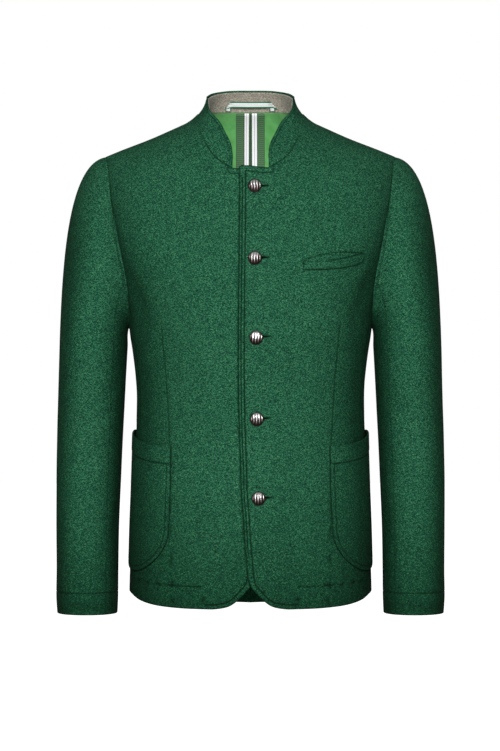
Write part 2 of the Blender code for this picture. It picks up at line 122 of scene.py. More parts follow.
# height, x of the front edge of the lapping front
FRONT_EDGE = (
    (-87, -15.1),
    (-470, -15.1),
    (-501, -13.9),
    (-549, -12.2),
    (-577, -9.8),
    (-605, -8.4),
    (-640, -4.8),
    (-661, -2.1),
    (-672, 2.0),
    (-681.5, 10.5),
)

# The top corner of the front edge: its centre and radius
CORNER_X = -11.8
EDGE_TOP = -88
CORNER_R = 5

# x, height: the rest of the round front corner, and the neckline
FRONT_CORNER = ((10.5, -681.5), (19.5, -690.8), (29, -697.3), (42, -700.8))
NECK_FRONT = ((25.5, -83), (36, -77), (50, -66), (64.5, -44), (73.2, -21), (76, 4.5))
NECK_BACK = ((76, 4.5), (71, 7.5), (60, 10.8), (44, 13), (24, 13.8), (0, 13.8))

# height, centre x, centre y, half width, half depth of a sleeve
SLEEVE = (
    (-332, 227.5, 4, 49.3, 75),
    (-375, 229.5, 6, 48.8, 72),
    (-422, 231.5, 9, 48.3, 68),
    (-475, 233.5, 10, 47.5, 64.5),
    (-530, 235.0, 6, 46.8, 61.5),
    (-590, 235.7, -3, 45.4, 58),
    (-655, 235.3, -16, 44.5, 54),
    (-700, 235.0, -27, 44.2, 51.5),
    (-715.8, 234.6, -30, 43.2, 51),
)
SLEEVE_SQUARE = 2.2

# The way in which the sleeve leaves the armhole at its top, underarm, front and back
SLEEVE_WAYS = ((0.88, 0, -0.15), (0.55, 0, -0.83), (0.75, -0.6, -0.3), (0.75, 0.6, -0.3))
SLEEVE_DOWN = (0.03, 0, -1.0)  # the way in which its head runs into the arm
HEAD_PULL = 0.72
ARM_PULL = 0.95

# place along the half neckline (0 front end, 1 shoulder, 2 centre back), lean over x, y, rise
COLLAR = (
    (0.0, 0.5, 3, 17),
    (0.10, 8.5, 5, 24),
    (0.22, 16, 7, 27),
    (0.42, 21.5, 9, 28),
    (0.60, 22.0, 8, 26),
    (0.68, 18.5, 6.7, 25.6),
    (0.75, 14.8, 5.2, 25.2),
    (0.85, 13.4, 3, 25.2),
    (1.0, 12.5, -3, 26.5),
    (1.3, 6.5, -9, 28.0),
    (1.6, 3, -11, 29.5),
    (2.0, 0, -11, 30.2),
)

# The armhole: turn and level of its centre, half width to the front and back, height up and down
ARMHOLE_TURN = 90
ARMHOLE_LEVEL = 1.30
ARMHOLE_WIDE = (27.0, 25.0)
ARMHOLE_TALL = (0.70, 0.30)
ARMHOLE_SQUARE = 2.5

# Turns at the hem: end of the front's round corner, both seams of the side panel
CORNER_TURN = 17
SIDE_TURN = 66
BACK_TURN = 112

# Where the seams meet the armhole, in degrees round it: 0 top, 90 front, 180 underarm
SIDE_SEAM = 140
BACK_SEAM = 230
SLEEVE_FRONT = 130
SLEEVE_BACK = 260

# x and height of each button
BUTTONS = ((5.9, -109.8), (6.2, -211.2), (7.8, -322), (8.8, -436.2), (11.2, -547.2))
BUTTONHOLE = 19.0  # from the button's middle to the end of its buttonhole

# The hanger loop: heights of its edges, and its folds' x at the lower and upper edge
LOOP_LOW = 18.0
LOOP_HIGH = 27.4
LOOP_WIDE = 9.4
LOOP_LEFT = (-37.0, -28.0)
LOOP_RIGHT = (40.0, 28.5)

# Its short ends below the folds: both edges' x, height of the foot, length that shows
LOOP_ENDS = {"loop_end_left": (27.6, 36.6), "loop_end_right": (-37.0, -28.0)}
LOOP_END_FOOT = 13.5
LOOP_END_LENGTH = 5.5
FACING_FOOT = 14.0  # height of the collar facing's lower edge at the back

# Sewn lines
EDGE_LINES = (3.9, 8.4)  # from the front edge
HEM_STITCH = 6.6  # from the hem edge
HEM_RISE = (31.5, 27.0)  # height of the hem's sewing over its edge, at the front and at the side
HEM_START = 66.5  # x where the hem's sewing starts
CUFF_RISE = 31.0
COLLAR_LINE = 4.2
FACING_LINES = (3.0, 5.4, 7.8)  # below the facing's upper edge
POCKET_LINE = 7.0
POCKET_BAND = 25.0

# The patch pocket: turns of its edges, heights of its mouth and foot, heights of its round corners
POCKET_FRONT = 38.5
POCKET_BACK = 104
POCKET_MOUTH = -474
POCKET_FOOT = -653
POCKET_CORNERS = (62, 80)

# height, x of the dart from the chest to the hem
DART = ((-700, 108), (-655, 111), (-452, 115), (-381, 119.5), (-316, 125), (-285, 127))

# x, heights of the slit's upper edge, of the welt's top and of its lower seam
WELT = (
    (73.8, -214.4, -215.6, -227.5),
    (85.2, -209.4, -215.7, -227.3),
    (107.8, -204.1, -215.3, -226.4),
    (128.6, -201.4, -211.3, -224.0),
    (146.0, -201.8, -207.0, -219.8),
    (160.0, -202.4, -202.9, -214.0),
)
WELT_START = 73.5
WELT_WIDE = 86.5

# The ribbon: x of its edges, heights of its foot and head
RIBBON_X = (21.6, -22.0)
RIBBON_Z = (-412, 14.0)

# Creases: turn or round, height, slope, half length, half width, depth
BODY_CREASES = (
    (56, -262, 84, 70, 11, 2.4),
    (-55, -268, 97, 74, 12, 2.6),
    (47, -215, 62, 40, 10, 0.9),
    (-45, -228, 117, 46, 11, 1.0),
    (24, -452, 6, 60, 9, 0.8),
    (-20, -457, -5, 66, 9, 0.8),
    (-33, -527, 8, 52, 8, 0.7),
    (31, -533, -7, 58, 9, 0.7),
    (6, -385, 12, 34, 7, 0.5),
    (-8, -492, -10, 36, 7, 0.5),
    (86, -372, 76, 52, 10, 1.6),
    (-88, -366, 103, 56, 10, 1.7),
    (97, -440, 12, 40, 9, 1.1),
    (-95, -448, -14, 44, 9, 1.1),
    (122, -215, 72, 66, 12, 2.3),
    (-124, -224, 108, 62, 12, 2.2),
    (143, -176, 54, 48, 11, 1.2),
    (-147, -183, 127, 52, 11, 1.1),
    (160, -418, 7, 70, 10, 1.3),
    (-152, -431, -9, 64, 10, 1.2),
    (170, -470, -6, 52, 9, 0.8),
    (-168, -388, 10, 44, 9, 0.8),
    (150, -600, 84, 60, 16, 1.2),
    (-154, -612, 97, 66, 16, 1.2),
)
SLEEVE_CREASES = (
    (98, -448, 24, 46, 9, 1.7),
    (112, -481, -18, 40, 8, 1.3),
    (86, -512, 15, 34, 8, 0.9),
    (122, -408, 34, 36, 8, 1.2),
    (72, -628, 12, 32, 8, 0.8),
    (300, -425, -14, 44, 10, 1.1),
    (318, -492, 10, 40, 9, 0.9),
    (246, -455, 22, 44, 10, 1.4),
    (258, -360, 66, 52, 11, 1.3),
    (352, -560, 80, 62, 13, 0.7),
    (18, -390, 86, 66, 14, 0.6),
    (150, -585, 70, 48, 10, 1.0),
)

SIDES = {1: "left", -1: "right"}


# The form


def curve(table, x, column=1):
    """A smooth line through one column of a table, against its first column."""
    rows = sorted(table)
    xs = np.array([r[0] for r in rows], float)
    ys = np.array([r[column] for r in rows], float)
    x = np.clip(np.asarray(x, float), xs[0], xs[-1])
    slope = np.gradient(ys, xs)
    i = np.clip(np.searchsorted(xs, x, side="right") - 1, 0, len(xs) - 2)
    h = xs[i + 1] - xs[i]
    t = (x - xs[i]) / h
    a = ys[i] * (1 + 2 * t) * (1 - t) ** 2 + h * slope[i] * t * (1 - t) ** 2
    return a + ys[i + 1] * t * t * (3 - 2 * t) + h * slope[i + 1] * t * t * (t - 1)


def ease(t):
    """A soft step from 0 to 1."""
    t = np.clip(t, 0, 1)
    return t * t * (3 - 2 * t)


def unit(v):
    """Vectors brought to a length of 1."""
    return v / np.linalg.norm(v, axis=-1, keepdims=True)


def share_of(turn, square):
    """How far a turn reaches out of the half width and of the half depth."""
    s, c = np.sin(np.radians(turn)), np.cos(np.radians(turn))
    size = (np.abs(s) ** square + np.abs(c) ** square) ** (1 / square)
    return s / size, c / size


def turn_of(share, square, most=1 - 1e-9):
    """The turn that reaches a share of the half width."""
    r = np.clip(np.abs(share), 0, most) ** square
    return np.degrees(np.arctan((r / (1 - r)) ** (1 / square))) * np.sign(share)


def creases(table, turn, height, mm_per_degree):
    """How deep the soft troughs of a table are at places of a form."""
    deep = np.zeros(np.shape(turn))
    for at, z, slope, long, wide, depth in table:
        x = ((turn - at + 180) % 360 - 180) * mm_per_degree
        y = height - z
        c, s = math.cos(math.radians(slope)), math.sin(math.radians(slope))
        along, off = (x * c + y * s) / long, (y * c - x * s) / wide
        bend = off - 0.5 * along**2
        deep = deep + depth * np.exp(-(bend**2)) * np.clip(1 - along**2, 0, 1) ** 2
    return deep


def sizes(level):
    """Half width, front depth, back depth, squareness and the two parts of the arch at a level."""
    rise = np.clip(level - 1, 0, 1) * math.pi / 2
    height = HEM + (UNDERARM - HEM) * np.minimum(level, 1)
    half, front, back, square = (curve(BODY, height, c) for c in (1, 2, 3, 4))
    up = np.sin(rise) ** (2 / ARCH)
    depth = np.abs(np.cos(rise)) ** (2 / ARCH)
    half = half + (SHOULDER_X - half) * ease(up**0.75)
    square = square + (TOP_SQUARE - square) * ease((level - 1) / 0.3)
    return half, front, back, square, up, depth


def form(turn, level, hand=1):
    """Points of the body: turn 0 centre front, 180 centre back, level 0 hem, 1 underarm, 2 shoulder."""
    turn, level = np.broadcast_arrays(np.asarray(turn, float), np.asarray(level, float))
    half, front, back, square, up, depth = sizes(level)
    s, c = np.sin(np.radians(turn)), np.cos(np.radians(turn))
    share, along = share_of(turn, square)
    y = np.where(along > 0, -front * along, -back * along)
    y = RIDGE_Y + (y - RIDGE_Y) * depth
    hem = curve(HEM_LINE, np.abs(turn))
    low = hem + (UNDERARM - hem) * np.minimum(level, 1)
    top = curve(RIDGE, np.abs(share) * SHOULDER_X)
    z = np.where(level > 1, UNDERARM + (top - UNDERARM) * up, low)
    deep = creases(BODY_CREASES, turn * hand, z, mm_per_degree=2.0)
    return np.stack([half * share - deep * s, y + deep * c, z], -1) * MM


def normal(surface, a, b, hand=1):
    """Unit normals of a surface of two numbers, by small steps of both."""
    a, b = np.broadcast_arrays(np.asarray(a, float), np.asarray(b, float))
    if surface is form:
        # The shoulder line is a sharp ridge, so normals near it are taken beside it
        beside = np.where(b > 1.9, 6.0, 0.0)
        a = np.where((a > 90 - beside) & (a <= 90), 90 - beside, a)
        a = np.where((a < 90 + beside) & (a > 90), 90 + beside, a)
    high = np.minimum(b + 0.004, 2.0)
    along = surface(a + 0.1, b, hand) - surface(a - 0.1, b, hand)
    up = surface(a, high, hand) - surface(a, high - 0.008, hand)
    return unit(np.cross(along, up))


def place(x, z, back=False):
    """The turn and level of the form's point at an x and a height in millimetres."""
    x, z = np.broadcast_arrays(np.asarray(x, float), np.asarray(z, float))
    low, high = np.zeros(x.shape), np.full(x.shape, 2.0)
    for _ in range(36):
        level = (low + high) / 2
        half, _front, _back, square, _up, _depth = sizes(level)
        turn = turn_of(x / half, square, most=0.99999)
        turn = 180 - turn if back else turn
        above = form(turn, level)[..., 2] > z * MM
        high = np.where(above, level, high)
        low = np.where(above, low, level)
    return turn, level


def armhole_line():
    """The oval of the armhole as degrees round it, by length, with its turns and levels."""
    a = np.radians(np.linspace(0, 360, 721))
    s, c = np.sin(a), np.cos(a)
    turn = ARMHOLE_TURN - np.sign(s) * np.where(s > 0, *ARMHOLE_WIDE) * np.abs(s) ** (2 / ARMHOLE_SQUARE)
    level = ARMHOLE_LEVEL + np.sign(c) * np.where(c > 0, *ARMHOLE_TALL) * np.abs(c) ** (2 / ARMHOLE_SQUARE)
    run = np.linalg.norm(np.diff(form(turn, level), axis=0), axis=1).cumsum()
    return np.append(0, run) / run[-1] * 360, turn, level


def armhole(round_):
    """Turn and level of the armhole, by degrees round it."""
    run, turn, level = ARMHOLE
    at = np.where(np.asarray(round_) == 360, 360.0, np.mod(round_, 360.0))
    return np.interp(at, run, turn), np.interp(at, run, level)


ARMHOLE = armhole_line()


# Lines and grids


def smooth_line(points, n):
    """n + 1 points evenly along a smooth line through the points given."""
    p = np.asarray(points, float)
    run = np.concatenate([[0], np.cumsum(np.linalg.norm(np.diff(p, axis=0), axis=1))])
    rows = [(s, *q) for s, q in zip(run, p)]
    at = np.linspace(0, run[-1], n + 1)
    return np.stack([curve(rows, at, k + 1) for k in range(p.shape[1])], -1)


def on_form(x, z, back=False):
    """A line of places, as turns and levels."""
    return np.stack(place(x, z, back), -1)


def shares(line):
    """A line of turns and levels with each turn as its share of the half width."""
    turn, level = line[:, 0], line[:, 1]
    return np.stack([share_of(turn, sizes(level)[3])[0], level], -1)


def turns(grid, back):
    """The turns of a grid of shares of the half width."""
    turn = turn_of(grid[..., 0], sizes(grid[..., 1])[3])
    return (180 - turn if back else turn), grid[..., 1]


def at_share(line, t):
    """Points of a line at shares of its marks."""
    k = np.linspace(0, 1, len(line))
    return np.stack([np.interp(t, k, line[:, c]) for c in (0, 1)], -1)


def patch(lines, u, v):
    """A grid between four lines (bottom, top, left, right) at the shares u across and v up."""
    bottom, top, left, right = lines
    b, t, l, r = at_share(bottom, u), at_share(top, u), at_share(left, v), at_share(right, v)
    up = v[:, None]
    from_left = l - (1 - up) * left[0] - up * left[-1]
    from_right = r - (1 - up) * right[0] - up * right[-1]
    rows = (1 - up[:, None]) * b[None] + up[:, None] * t[None]
    u = u[None, :, None]
    return rows + (1 - u) * from_left[:, None] + u * from_right[:, None]


def spread(total, marks=(), fine=0.7, coarse=4.5):
    """Shares of a length, close together at its ends and in each marked stretch of it."""
    near_ = [(0.0, 0.0, fine), (total, total, fine), *marks]
    places, s = [0.0, 0.3], 0.7
    while s < total - 0.6:
        places.append(s)
        s += min(coarse, *[step + 0.25 * max(low - s, s - high, 0.0) for low, high, step in near_])
    places = np.array([*places, total - 0.3, total])
    return (CLOSE / 2 + places * (1 - CLOSE / total)) / total


STEPS = 30  # points of a border line between two of the cut's marks


def shoulder_line():
    """The shoulder seam from the armhole to the neck."""
    x = np.linspace(SHOULDER_X, NECK_X, 10 * STEPS + 1)
    turn = turn_of(x / SHOULDER_X, sizes(np.array(2.0))[3])
    turn[0] = 90 - 1e-6
    return np.stack([turn, np.full(len(x), 2.0)], -1)


def seam_line(turn, round_, n):
    """A seam from the hem up to the armhole."""
    t = np.linspace(0, 1, n * STEPS + 1)[:, None]
    end = np.array(armhole(round_))
    return (1 - t) * np.array([turn, 0.0]) + t * end + np.array([-3.0, 0]) * (t * (1 - t))


def armhole_part(start, stop, n):
    """Part of the armhole, by degrees round it."""
    return np.stack(armhole(np.linspace(start, stop, n * STEPS + 1)), -1)


def neck_front():
    """The neckline from its front end to the shoulder seam."""
    p = smooth_line(NECK_FRONT, 6 * STEPS)
    line = on_form(p[:, 0], p[:, 1])
    line[-1] = shoulder_line()[-1]
    return line


def neck_back():
    """The neckline from the shoulder seam to the centre back."""
    p = smooth_line(NECK_BACK, 5 * STEPS)
    line = on_form(p[:, 0], p[:, 1], back=True)
    line[0] = shoulder_line()[-1] * (-1, 1) + (180, 0)
    return line


# Marks up the front's inner border, and the shares of them at the front edge's top and the collar's end
FRONT_MARKS = 23
EDGE_END = 13 / FRONT_MARKS
COLLAR_END = 17 / FRONT_MARKS


def front_lines():
    """The borders of a front: bottom, top, its edge and its side."""
    mark = np.linspace(0, 13, 13 * STEPS + 1)
    z = np.interp(mark, [0, 1, 2, 3, 13], [-681.5, -672, -658, -630, EDGE_TOP])
    edge = on_form(curve(FRONT_EDGE, z), z)
    turn = np.radians(np.linspace(180, 90, STEPS + 1))[1:]
    arc = on_form(CORNER_X + CORNER_R * np.cos(turn), EDGE_TOP + CORNER_R * np.sin(turn))
    x = np.linspace(CORNER_X, NECK_FRONT[0][0], 3 * STEPS + 1)[1:]
    neck = neck_front()
    left = np.concatenate([edge, arc, on_form(x, EDGE_TOP + CORNER_R), neck[1:]])
    start = form(CORNER_TURN, 0)[[0, 2]] / MM
    corner = smooth_line([*FRONT_CORNER, start], 3 * STEPS)
    low = np.linspace(CORNER_TURN, SIDE_TURN, 7 * STEPS + 1)[1:]
    bottom = np.concatenate([on_form(corner[:, 0], corner[:, 1]), np.stack([low, 0 * low], -1)])
    right = np.concatenate([seam_line(SIDE_TURN, SIDE_SEAM, 9), armhole_part(SIDE_SEAM, 0, 14)[1:]])
    top = shoulder_line()[::-1]
    right[-1] = top[-1]
    return bottom, top, left, right


def back_lines():
    """The borders of a back: bottom, top, its side and the centre seam."""
    left = np.concatenate([seam_line(BACK_TURN, BACK_SEAM, 9), armhole_part(BACK_SEAM, 360, 13)[1:]])
    top = shoulder_line() * (-1, 1) + (180, 0)
    left[-1] = top[0]
    low = np.linspace(BACK_TURN, 180, 10 * STEPS + 1)
    neck = neck_back()[::-1]
    middle = np.linspace(0, neck[0, 1], 17 * STEPS + 1)[:-1]
    right = np.concatenate([np.stack([np.full(len(middle), 180.0), middle], -1), neck])
    return np.stack([low, 0 * low], -1), top, left, right


def side_lines():
    """The borders of a side panel: bottom, top and both seams."""
    low = np.linspace(SIDE_TURN, BACK_TURN, 5 * STEPS + 1)
    top = armhole_part(SIDE_SEAM, BACK_SEAM, 5)
    left, right = seam_line(SIDE_TURN, SIDE_SEAM, 9), seam_line(BACK_TURN, BACK_SEAM, 9)
    return np.stack([low, 0 * low], -1), top, left, right


def body_grid(lines, u, v, back=False):
    """Turns and levels of a grid between four lines on the body."""
    return turns(patch([shares(line) for line in lines], u, v), back)


def lift(x):
    """How far the lapping front stands off the form, at an x in metres."""
    return LAP * MM * (1 - ease((x / MM - 24) / 40))


def sleeve(round_, along, hand=1):
    """Points of the sleeve: along is 0 at the armhole, 1 at the bicep and 2 at the cuff."""
    round_, along = np.broadcast_arrays(np.asarray(round_, float), np.asarray(along, float))
    s, c = np.sin(np.radians(round_)), np.cos(np.radians(round_))
    fore, up = share_of(round_, SLEEVE_SQUARE)
    top, cuff = SLEEVE[0][0], SLEEVE[-1][0]
    z = top + (cuff - top) * np.clip(along - 1, 0, 1)
    x, y, wide, deep = (curve(SLEEVE, z, k) for k in (1, 2, 3, 4))
    ring = np.stack([x + wide * up, y - deep * fore, z], -1)
    start = form(*armhole(round_), hand) / MM + (CLOSE, 0, 0)
    way = sum(np.maximum(side, 0)[..., None] ** 2 * out for side, out in zip((c, -c, s, -s), SLEEVE_WAYS))
    far = np.linalg.norm(ring - start, axis=-1, keepdims=True)
    t = np.clip(along, 0, 1)[..., None]
    head = start * (1 + 2 * t) * (1 - t) ** 2 + HEAD_PULL * far * way * t * (1 - t) ** 2
    head = head + ring * t * t * (3 - 2 * t) - ARM_PULL * far * np.array(SLEEVE_DOWN) * t * t * (1 - t)
    p = np.where(along[..., None] > 1, ring, head)
    at = np.mod(round_, 360) + 6 * hand
    dent = creases(SLEEVE_CREASES, at, p[..., 2] + 9 * hand, mm_per_degree=1.0) * ease(along / 0.35)
    p = p - np.stack([dent * c, -dent * s, 0 * dent], -1)
    return p * MM


# Meshes


def near(points, lines):
    """Distance in millimetres from each point to the nearest of some lines of points."""
    dense = []
    for line in lines:
        line = np.asarray(line, float).reshape(-1, 3)
        run = np.append(0, np.cumsum(np.linalg.norm(np.diff(line, axis=0), axis=1)))
        at = np.arange(0, run[-1], 0.25 * MM)
        dense.append(np.stack([np.interp(at, run, line[:, k]) for k in range(3)], -1))
    dense = np.concatenate(dense)
    tree = KDTree(len(dense))
    for i, p in enumerate(dense):
        tree.insert(p, i)
    tree.balance()
    flat = points.reshape(-1, 3)
    far = np.array([tree.find(p)[2] for p in flat])
    return far.reshape(points.shape[:-1]) / MM


def groove(off, deep, wide=0.8):
    """Depth of a sewn groove at distances from its middle."""
    return deep * np.exp(-((off / wide) ** 2))


def linked(name, data):
    """An object of some data, in the scene."""
    obj = bpy.data.objects.new(name, data)
    bpy.context.scene.collection.objects.link(obj)
    return obj


def new_mesh(name, points, faces, look, marks=None):
    """An object of these points, with named numbers on its points."""
    mesh = bpy.data.meshes.new(name)
    mesh.from_pydata(np.asarray(points).reshape(-1, 3).tolist(), [], faces)
    mesh.update()
    mesh.shade_smooth()
    mesh.materials.append(look)
    for key, values in (marks or {}).items():
        layer = mesh.attributes.new(key, "FLOAT", "POINT")
        layer.data.foreach_set("value", np.asarray(values, np.float32).ravel())
    obj = linked(name, mesh)
    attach(obj, "root")
    return obj


def grid_faces(rows, cols, flip):
    """Faces of an outer and an inner grid and of the rim between them."""
    at = np.arange(rows * cols).reshape(rows, cols)
    quads = np.stack([at[:-1, :-1], at[:-1, 1:], at[1:, 1:], at[1:, :-1]], -1).reshape(-1, 4)
    n = rows * cols
    rim = np.array([*at[0, :-1], *at[:-1, -1], *at[-1, :0:-1], *at[:0:-1, 0]])
    after = np.roll(rim, -1)
    sides = np.stack([after, rim, rim + n, after + n], -1)
    faces = np.concatenate([quads, quads[:, ::-1] + n, sides])
    return (faces[:, ::-1] if flip else faces).tolist()


def ring_faces(rings, sides, flip=False):
    """Faces between rings of points and over both ends."""
    faces = []
    for i in range(rings - 1):
        for j in range(sides):
            a, b = j, (j + 1) % sides
            if flip:
                a, b = b, a
            faces.append((i * sides + a, i * sides + b, (i + 1) * sides + b, (i + 1) * sides + a))
    first, last = tuple(range(sides)), tuple(range((rings - 1) * sides, rings * sides))
    return [*faces, *([first, last[::-1]] if flip else [first[::-1], last])]


def shell(
    name, p, n, thick, look, hand=1, drop=0.0, sewn=0.0, seams=(), marks=None, round_=ROUND, crisp=1.0
):
    """Thin cloth whose outer face is p, with round edges.

    drop is how far sewing pulls the face in, the argument after it how much painted shade lies in its
    seams and grooves, and crisp how much its edges are rounded and its seams get painted shade.
    """
    off = near(p, [p[0], p[-1], p[:, 0], p[:, -1]])
    full = np.sqrt(1 - (1 - np.clip(off / round_, 0, 1)) ** 2)
    full = 1 - (1 - np.maximum(full, THINNEST)) * crisp
    full = full[..., None]
    middle = p - n * thick / 2 * MM
    outer = middle + n * thick / 2 * MM * full - n * (np.zeros(off.shape) + drop)[..., None] * MM
    inner = middle - n * thick / 2 * MM * full
    # Painted shade: darker in seams and sewn grooves, and along each seam as far as crisp allows
    painted_shade = np.zeros(off.shape) + sewn
    if len(seams):
        painted_shade = np.maximum(painted_shade, np.exp(-((near(p, seams) / 1.1) ** 2)) * crisp)
    points = np.concatenate([outer.reshape(-1, 3), inner.reshape(-1, 3)])
    if hand < 0:
        points = points * (-1, 1, 1)
    values = {"sewn": np.concatenate([painted_shade.ravel(), 0 * painted_shade.ravel()])}
    for key, value in (marks or {}).items():
        values[key] = np.concatenate([value.ravel(), value.ravel()])
    obj = new_mesh(name, points, grid_faces(*p.shape[:2], hand < 0), look, values)
    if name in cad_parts:
        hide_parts(name)
    return obj


# One stitch: share of its length, thickness, height of its bow
STITCH = ((0.0, 0.35, 0.0), (0.12, 0.9, 0.5), (0.5, 1.0, 1.0), (0.88, 0.9, 0.5), (1.0, 0.35, 0.0))
STITCH_SIDES = 5
STITCH_PITCH = 3.4
STITCH_LENGTH = 2.7
THREAD = 0.3


def stitch_points():
    """One stitch along x, from 0 to 1, bowed up."""
    points = []
    for x, r, up in STITCH:
        for k in range(STITCH_SIDES):
            a = 2 * math.pi * k / STITCH_SIDES
            points.append((x, r * math.cos(a), r * math.sin(a) * 0.8 + up * 0.6))
    return np.array(points)


def one_stitch(tree, first, last, wide, high, sunk=0.0):
    """A stitch from one place to another, laid on the nearest face."""
    hit, n, _index, _far = tree.find_nearest(Vector((first + last) / 2))
    n, along = np.array(n), last - first
    template = stitch_points()
    side = unit(np.cross(n, along))
    flat = np.array(hit) - along / 2 + template[:, :1] * along + template[:, 1:2] * side * wide * MM
    return flat + (template[:, 2:] * high - sunk) * MM * n


def sewn_row(name, stitches, look):
    """Many stitches as one object."""
    faces, count = ring_faces(len(STITCH), STITCH_SIDES, flip=True), len(STITCH) * STITCH_SIDES
    faces = [tuple(k + i * count for k in face) for i in range(len(stitches)) for face in faces]
    return new_mesh(name, np.concatenate(stitches), faces, look)


def row_along(path, tree):
    """Stitches along a path on a face."""
    run = np.append(0, np.cumsum(np.linalg.norm(np.diff(path, axis=0), axis=1)))
    row = []
    for i in range(int(run[-1] / (STITCH_PITCH * MM))):
        s = (i + 0.15) * STITCH_PITCH * MM
        first, last = (
            np.array([np.interp(at, run, path[:, k]) for k in range(3)]) for at in (s, s + STITCH_LENGTH * MM)
        )
        row.append(one_stitch(tree, first, last, THREAD, THREAD, sunk=0.05))
    return row


def tree_of(obj):
    """The faces of an object, to look up places on."""
    mesh = obj.data
    return BVHTree.FromPolygons([v.co for v in mesh.vertices], [f.vertices[:] for f in mesh.polygons])


# Materials


def srgb(r, g, b):
    """A colour as seen on a screen, 0 to 255, in the numbers that a shader takes."""
    return (*[(c / 255 / 12.92 if c <= 10 else ((c / 255 + 0.055) / 1.055) ** 2.4) for c in (r, g, b)], 1)


def put(tree, kind, inputs=None, **settings):
    """A node with its settings, and its inputs as values or links."""
    node = tree.nodes.new("ShaderNode" + kind)
    for key, value in settings.items():
        setattr(node, key, value)
    for key, value in (inputs or {}).items():
        if isinstance(value, bpy.types.NodeSocket):
            tree.links.new(value, node.inputs[key])
        else:
            node.inputs[key].default_value = value
    return node


def maths(tree, operation, a, b=0.0, clamp=False):
    """One operation on values or links."""
    return put(tree, "Math", {0: a, 1: b}, operation=operation, use_clamp=clamp).outputs[0]


def scaled(tree, value, by, plus=0.0):
    """A value times a number, plus a number."""
    return maths(tree, "ADD", maths(tree, "MULTIPLY", value, by), plus)


def noise_of(tree, scale, detail=2.0, **inputs):
    """Noise of a scale and detail."""
    return put(tree, "TexNoise", {"Scale": scale, "Detail": detail, **inputs}).outputs[0]


def mixed(tree, share, a, b, blend="MIX"):
    """Two colours mixed."""
    node = put(tree, "Mix", {0: share}, data_type="RGBA", blend_type=blend)
    for socket, value in ((node.inputs[6], a), (node.inputs[7], b)):
        if isinstance(value, bpy.types.NodeSocket):
            tree.links.new(value, socket)
        else:
            socket.default_value = value
    return node.outputs[2]


def ramp(tree, value, stops):
    """A colour looked up by a value."""
    node = put(tree, "ValToRGB", {0: value})
    node.color_ramp.elements[0].position, node.color_ramp.elements[0].color = stops[0]
    node.color_ramp.elements[1].position, node.color_ramp.elements[1].color = stops[-1]
    for position, colour in stops[1:-1]:
        node.color_ramp.elements.new(position).color = colour
    return node.outputs[0]


def attribute(tree, name):
    """A named number on the points."""
    return put(tree, "Attribute", attribute_name=name).outputs["Fac"]


def new_group(name, inputs, outputs):
    """A node group with the sockets named, and its input and output sockets."""
    tree = bpy.data.node_groups.new(name, "ShaderNodeTree")
    for key, value in inputs.items():
        socket = tree.interface.new_socket(key, in_out="INPUT", socket_type="NodeSocketFloat")
        socket.default_value = value
    for key in outputs:
        tree.interface.new_socket(key, in_out="OUTPUT", socket_type="NodeSocketFloat")
    return tree, tree.nodes.new("NodeGroupInput").outputs, tree.nodes.new("NodeGroupOutput").inputs


def felted_group():
    """Matted fibre: a fleck for colour, a broad tone and a height."""
    inputs = {"Scale": 300.0, "Stretch": 1.7}
    tree, into, out = new_group("felted_fibre", inputs, ("Fleck", "Fine", "Tone", "Height"))
    where = put(tree, "TexCoord").outputs["Object"]
    tall = put(tree, "CombineXYZ", {0: 1.0, 1: 1.0, 2: into["Stretch"]}).outputs[0]
    drawn = put(tree, "VectorMath", {0: where, 1: tall}, operation="MULTIPLY").outputs[0]
    coarse, middle, fine = (
        noise_of(tree, maths(tree, "MULTIPLY", into["Scale"], share), detail, Vector=drawn, Distortion=twist)
        for share, detail, twist in ((1.0, 2.0, 1.4), (2.6, 2.0, 1.0), (6.0, 1.0, 0.5))
    )
    both = maths(tree, "ADD", maths(tree, "MULTIPLY", coarse, 0.6), maths(tree, "MULTIPLY", middle, 0.4))
    hair = maths(tree, "ABSOLUTE", maths(tree, "SUBTRACT", middle, 0.5))
    raised = maths(tree, "ADD", both, maths(tree, "MULTIPLY", fine, 0.35))
    tree.links.new(both, out["Fleck"])
    tree.links.new(fine, out["Fine"])
    tree.links.new(noise_of(tree, 26.0, 3.0, Vector=where), out["Tone"])
    tree.links.new(maths(tree, "SUBTRACT", raised, hair), out["Height"])
    return tree


def rib_group():
    """Ribs of a woven band across a named number on its points."""
    inputs = {"Along": 0.0, "Across": 0.0, "Rib": 1.1, "Wave": 0.3}
    tree, into, out = new_group("woven_rib", inputs, ("Height",))
    zigzag = maths(tree, "PINGPONG", into["Across"], 4.2)
    slant = maths(tree, "MULTIPLY", zigzag, into["Wave"])
    at = maths(tree, "DIVIDE", maths(tree, "ADD", into["Along"], slant), into["Rib"])
    wave = maths(tree, "SINE", maths(tree, "MULTIPLY", at, 2 * math.pi))
    tree.links.new(scaled(tree, wave, 0.5, 0.5), out["Height"])
    return tree


def new_look(name, **sockets):
    """A material, with some of its shader's sockets set."""
    look = bpy.data.materials.new(name)
    look.use_nodes = True
    shader = look.node_tree.nodes["Principled BSDF"]
    for key, value in sockets.items():
        shader.inputs[key.replace("_", " ")].default_value = value
    return look, look.node_tree, shader


def give(tree, shader, colour, height, strength, deep, roughness=None):
    """Links a colour, a height and a roughness to a shader."""
    tree.links.new(colour, shader.inputs["Base Color"])
    if roughness is not None:
        tree.links.new(roughness, shader.inputs["Roughness"])
    bump = put(tree, "Bump", {"Height": height, "Strength": strength, "Distance": deep})
    tree.links.new(bump.outputs[0], shader.inputs["Normal"])


def fibre(tree, scale, stretch):
    """Outputs of the felted fibre at a scale."""
    return put(tree, "Group", {"Scale": scale, "Stretch": stretch}, node_tree=FELTED).outputs


def ribs(tree, rib, wave):
    """The two numbers on a band's points, and the height of its ribs."""
    across, along = attribute(tree, "across"), attribute(tree, "along")
    inputs = {"Along": along, "Across": across, "Rib": rib, "Wave": wave}
    return across, put(tree, "Group", inputs, node_tree=RIB).outputs[0]


